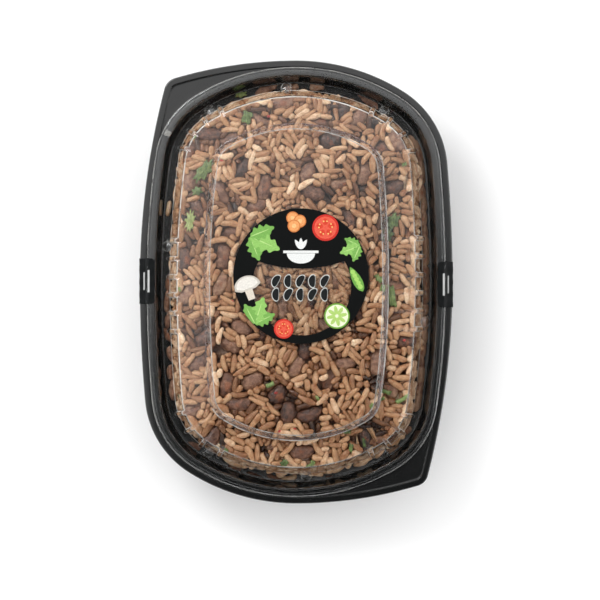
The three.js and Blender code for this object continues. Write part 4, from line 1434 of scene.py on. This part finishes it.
# What is printed round the label: the motif, its angle and reach from the middle, its size and turn.
MOTIFS = (
    (sprig, 142, 30, 15, -24), (tomato, 63, 25.4, 6.2), (carrot_coins, 98, 27.5, 3.0),
    (sprig, 27, 31, 10, 200), (mushroom, 192, 25.5, 6.4, 20), (pea_pod, -14, 30, 13, 118),
    (lime, -48, 25.2, 6.0), (tomato, -108, 26.0, 4.6), (sprig, -134, 31, 13, 72),
)


def make_label():
    points, faces = slab(circle(0, 0, LABEL_RADIUS, 144), (), FILM_Z, FILM_Z + 0.06)
    film = new_mesh("label_film", points + (*LABEL_AT, 0), faces, clear_film(), False)
    belong(film, "label_film", "label")
    edge = circle(0, 0, LABEL_RADIUS - 0.05, 144)
    points, faces = slab(edge, (label_window()[::-1],), PRINT_Z, PRINT_Z + 0.04)
    black = ink("black_ink", linear(9, 11, 11))
    belong(new_mesh("label_print", points + (*LABEL_AT, 0), faces, black, False), "label_film")
    sheet = Print()
    for motif, angle, reach, *rest in MOTIFS:
        motif(sheet, *polar(angle, reach), *rest)
    bowl_sign(sheet, 0, 10.6, 6.6)
    bean_rows(sheet, 0, -2.4, 5.7, 2.85)
    belong(sheet.piece("label_motifs"), "label_film")


# ---- seals ----
def make_seal(name, node, side):
    """A film over the lid's rim and the tray's lip, with rounded inner corners and plain bars."""
    low, high = mm_box(node)
    half, middle = (high[1] - low[1]) / 2, (high[1] + low[1]) / 2
    edge = HALF_WIDTH + 0.12
    # From the lid's rim, over the step down to the tray's lip, to below the lip.
    run = rounded((
        (edge - 7.7, RIM + 3.0, 0, 0), (edge - 4.6, RIM + 3.02, 0, 0.8),
        (edge - 3.45, RIM + 2.3, 0, 0.6), (edge - 3.1, RIM + 0.5, 0, 0.5),
        (edge - 1.6, RIM + 0.12, 0, 0.5), (edge, RIM - 0.2, 0, 0.8), (edge, RIM - 4.3, 0, 0),
    ), 5)[:, :2]
    far = run_length(run)
    at = np.linspace(0, far[-1], 60)
    run = at_lengths(run, far, at)
    slope = np.gradient(run, axis=0)
    up = np.column_stack([-slope[:, 1], slope[:, 0]]) / np.linalg.norm(slope, axis=1)[:, None]
    radius = 2.1
    reach = half - radius + np.sqrt(radius**2 - np.clip(radius - at, 0, None) ** 2)
    across = np.linspace(-1, 1, 61)
    sheets = []
    y = middle + reach[:, None] * across[None]
    ripple = 0.05 * np.sin(y * 1.1 + at[:, None] * 0.8)
    for lift in (0.1, 0.0):
        line = run + up * lift
        x, z = (line[:, i:i + 1] + up[:, i:i + 1] * ripple for i in (0, 1))
        sheets.append(np.dstack([side * x, y, z]))
    rows, columns = sheets[0].shape[:2]
    number = np.arange(2 * rows * columns).reshape(2, rows, columns)

    def grid(part):
        return np.stack([part[:-1, :-1], part[1:, :-1], part[1:, 1:], part[:-1, 1:]], -1).reshape(-1, 4)

    def border(part):
        return np.concatenate([part[0, :-1], part[:-1, -1], part[-1, :0:-1], part[:0:-1, 0]])

    outer, inner = border(number[0]), border(number[1])
    rim = np.stack([outer, np.roll(outer, -1), np.roll(inner, -1), inner], -1)
    faces = [grid(number[0]), grid(number[1])[:, ::-1], rim]
    faces = [f if side > 0 else f[:, ::-1] for f in faces]
    points = np.concatenate(sheets).reshape(-1, 3)
    far, y = np.tile(np.repeat(at, columns), 2), points[:, 1] - middle
    bars = ((3.1, 0.95, 5.4), (6.9, 0.65, 4.2))
    pale = sum((abs(far - place) < wide / 2) & (abs(y) < long) for place, wide, long in bars)
    colour = np.where(pale[:, None] > 0, linear(190, 191, 190), linear(17, 19, 20))
    piece = new_mesh(name, points, faces, ink(name + "_ink"), ink=colour)
    belong(piece, "seal_film", node)


# ---- herbs ----
# Each leaf that shows: x, y, length, width, turn, lobes and how light, which is each leaf's own tone and,
# for leaves that lie in shadow, painted shade.
LEAVES = (
    (-43.1, 52.7, 13.5, 5.6, 47, 4, 0.4), (-46.7, 42.8, 4.8, 4.0, 20, 3, 0.35),
    (-50, 28.7, 9.5, 4.4, 82, 5, 1.0), (45.6, 28.6, 8.2, 5.4, 60, 3, 0.2),
    (42.6, 22.2, 6.8, 6.0, 40, 3, 0.0), (45.0, -6.6, 11.6, 4.0, -78, 2, 0.5),
    (41.3, -3.0, 6.0, 4.2, 10, 2, 0.45), (38.8, 1.6, 4.8, 2.8, -50, 3, 0.4),
    (42.3, -51.8, 5.8, 2.2, -12, 2, 0.35), (40.3, -55, 3.4, 1.7, 25, 2, 0.5),
    (35.3, -58, 3.0, 1.8, 55, 2, 0.3), (23.4, -70.2, 4.8, 2.6, -5, 3, 0.15),
    (25.8, -78.2, 4.4, 2.2, 85, 2, 0.25), (32, -75.7, 4.8, 1.6, 100, 2, 0.2),
    (7.6, -85.8, 3.2, 2.4, 60, 2, 0.35), (-5.5, -85.3, 4.4, 3.2, 30, 3, 0.1),
    (-23.2, 77.6, 6.6, 5.2, 80, 2, 0.35), (-33, -80, 3.4, 2.8, 80, 2, 0.15),
    (51, 55.5, 2.6, 1.8, 30, 2, 0.5), (-55.5, -54.5, 2.6, 2.0, 0, 2, 0.3),
    (10, -54.5, 3.6, 1.2, 120, 1, 0.8), (-48.5, 68, 3.6, 1.4, 35, 2, 0.4),
    (-55, -3.5, 2.6, 1.6, 120, 2, 0.7), (-26.5, 90.2, 5.6, 3.0, 12, 3, 0.6),
)
# Each chopped stalk: x, y, length and turn.
STALKS = ((50.4, -55.2, 7.4, 29), (5.6, -87, 8.0, 41), (-12.3, -48.2, 4.0, 24))
# Each bit of pepper: x and y.
PEPPER_BITS = (
    (-35, 57), (-7.8, -70), (-0.8, -69), (-9.5, -52), (51, -27.5), (-13, 78), (14, 20), (-30, -9),
)


def leaf_surface(length, width, lobes):
    """A thin wavy leaf about the origin: both faces and the rim between them."""
    spokes, rings = 8 * max(lobes, 2), (0.34, 0.67, 1.0)
    angles = np.arange(spokes) * 2 * math.pi / spokes
    edge = 1 - 0.4 * (0.5 + 0.5 * np.cos(lobes * 2 * angles + 0.6)) + 0.07 * np.sin(9 * angles)
    oval = np.column_stack([length / 2 * np.cos(angles), width / 2 * np.sin(angles)]) * edge[:, None]
    flat = np.concatenate([[(0, 0)], *(oval * ring for ring in rings)])
    wave = 0.25 * np.sin(flat[:, 0] * 1.7) + 0.18 * np.cos(flat[:, 1] * 2.3)
    count = len(flat)
    points = np.vstack([np.column_stack([flat * 1.22, wave + h]) for h in (0.09, -0.09)])
    number = 1 + np.arange(3 * spokes).reshape(3, spokes)
    quads = ring_grid(number)
    fan = np.stack([np.zeros(spokes, int), number[0], np.roll(number[0], -1)], -1)
    last, after = number[-1], np.roll(number[-1], -1)
    rim = np.stack([last, last + count, after + count, after], -1)
    quads = np.concatenate([quads, quads[:, ::-1] + count, rim])
    return points, [quads, np.concatenate([fan, fan[:, ::-1] + count])]


def joined(parts):
    """One set of points and faces from several."""
    points, faces, start = [], {}, 0
    for part_points, part_faces in parts:
        points.append(part_points)
        for f in part_faces:
            faces.setdefault(f.shape[1], []).append(f + start)
        start += len(part_points)
    return np.vstack(points), [np.concatenate(f) for f in faces.values()]


def make_leaves():
    leaves, shades = [], []
    for x, y, length, width, turn, lobes, light in LEAVES:
        points, faces = leaf_surface(length, width, lobes)
        shades.append(np.full(len(points), light))
        points[:, :2] = spun(points[:, :2], turn)
        points += (x, y, float(lid_height([x], [y])[0]) - 0.75)
        leaves.append((tucked(points, np.repeat([0.12, 0.3], len(points) // 2)), faces))
    points, faces = joined(leaves)
    leaf = herb("herb_leaf", (38, 52, 26), (84, 104, 48), (152, 162, 98))
    belong(new_mesh("herb_leaves", points, faces, leaf, tint=np.concatenate(shades)), "herbs")


def make_stalks():
    """Chopped stalks just under the lid, and the spheres that keep grains out of them."""
    tube = seed_shape(14, (-0.98, -0.9, 0.0, 0.9, 0.98), (0.8, 1.0, 0.94, 1.0, 0.8))
    rows = np.array(STALKS)
    even = np.zeros(len(rows))
    axis = axes_at(np.radians(rows[:, 3]), even)
    centre = np.column_stack([rows[:, :2], lid_height(*rows[:, :2].T) - 1.25])
    size = np.column_stack([rows[:, 2], even + 2.1, even + 1.9])
    points, faces = laid_out(tube, centre, axis, size, even + 0.3, even, even)
    stalk = herb("herb_stalk", (40, 54, 26), (90, 112, 56), (146, 162, 100))
    tint = np.full(len(points), 0.65)
    belong(new_mesh("herb_stalks", tucked(points), faces, stalk, tint=tint), "herbs")
    shares = (-0.35, -0.12, 0.12, 0.35)
    still = np.concatenate([centre + axis * rows[:, 2:3] * share for share in shares])
    return still, np.full(len(still), 0.75)


def make_pepper_bits():
    bits = []
    for x, y in PEPPER_BITS:
        shape, faces = seed_shape(6, (-0.6, 0.1, 0.7), (0.8, 1.0, 0.6))
        bits.append((shape * (0.9, 1.3, 0.7) + (x, y, float(lid_height([x], [y])[0]) - 0.6), faces))
    points, faces = joined(bits)
    belong(new_mesh("pepper_bits", tucked(points), faces, pepper_skin()), "herbs")


# ---- floor, light and camera ----
RIM_TO_CAMERA = 850
FRAME_PIXELS = 600  # the width and height of the photo
RIM_PIXEL = 0.479  # mm at the rim for each pixel of it
CENTRE_PIXEL = (296.2, 282.0)  # where the pack's centre lies in it


def make_camera():
    data = bpy.data.cameras.new("camera")
    camera = bpy.data.objects.new("camera", data)
    bpy.context.scene.collection.objects.link(camera)
    camera.location = (0, 0, (RIM + RIM_TO_CAMERA) * MM)
    data.sensor_width = 36
    data.lens = data.sensor_width * RIM_TO_CAMERA / (FRAME_PIXELS * RIM_PIXEL)
    data.shift_x = 0.5 - CENTRE_PIXEL[0] / FRAME_PIXELS
    data.shift_y = CENTRE_PIXEL[1] / FRAME_PIXELS - 0.5
    data.clip_start = 0.01
    bpy.context.scene.camera = camera


def make_floor():
    corners = np.array([(-1, -1, 0), (1, -1, 0), (1, 1, 0), (-1, 1, 0)])
    points = corners * 1500 - (0, 0, 0.05)
    new_mesh("floor", points, [np.array([[0, 1, 2, 3]])], floor_paper(), False)


def soft_box(name, at, size, power, glossy=True):
    data = bpy.data.lights.new(name, "AREA")
    data.shape, data.size, data.energy = "SQUARE", size, power
    lamp = bpy.data.objects.new(name, data)
    lamp.location = at
    lamp.rotation_mode = "QUATERNION"
    lamp.rotation_quaternion = (-Vector(at)).to_track_quat("-Z", "Y")
    lamp.visible_camera = False
    lamp.visible_glossy = glossy
    bpy.context.scene.collection.objects.link(lamp)


def make_light():
    """A pale room, dim at the pack's lower end and dark in one place overhead, and three soft boxes."""
    world = bpy.data.worlds.new("room")
    world.use_nodes = True
    bpy.context.scene.world = world
    room = Nodes(world.node_tree)
    way = room.node("TexCoord", "Generated")
    dark = (0.09, -0.3, 0.95)  # the direction of the dark place
    away = room.node("VectorMath", "Value", {"operation": "DISTANCE"}, i0=way, i1=dark)
    stops = (
        (0.26, 0.0), (0.3, 0.06), (0.325, 0.28), (0.35, 0.6),
        (0.38, 0.9), (0.5, 1.15), (0.8, 0.6), (1.0, 1.9),
    )
    light = room.ramp(away, *((position, grey(share)) for position, share in stops))
    along = room.node("SeparateXYZ", "Y", i0=way)
    dusk = room.node("MapRange", Value=along, From_Min=-0.8, From_Max=-0.2, To_Min=0.44, To_Max=1.0)
    background = world.node_tree.nodes["Background"]
    room.plug(background.inputs["Color"], light)
    room.plug(background.inputs["Strength"], dusk)
    soft_box("key", (-0.4, 0.46, 0.52), 0.3, 2.05)
    soft_box("fill", (0.7, 0.05, 0.6), 0.5, 0.9)
    soft_box("low", (-0.35, -0.65, 0.42), 0.5, 0.95, False)


bpy.context.scene.view_settings.view_transform = "Standard"
make_camera()
make_light()
make_floor()
make_tray()
make_lid()
make_core()
make_sauce_and_shade()
bean_beads, bean_sizes = make_beans()
make_pressed_rice(bean_beads, bean_sizes)
make_leaves()
stalk_beads, stalk_sizes = make_stalks()
make_pepper_bits()
make_grains(np.vstack([bean_beads, stalk_beads]), np.concatenate([bean_sizes, stalk_sizes]))
make_label()
make_seal("seal_left_film", "seal_left", -1)
make_seal("seal_right_film", "seal_right", 1)
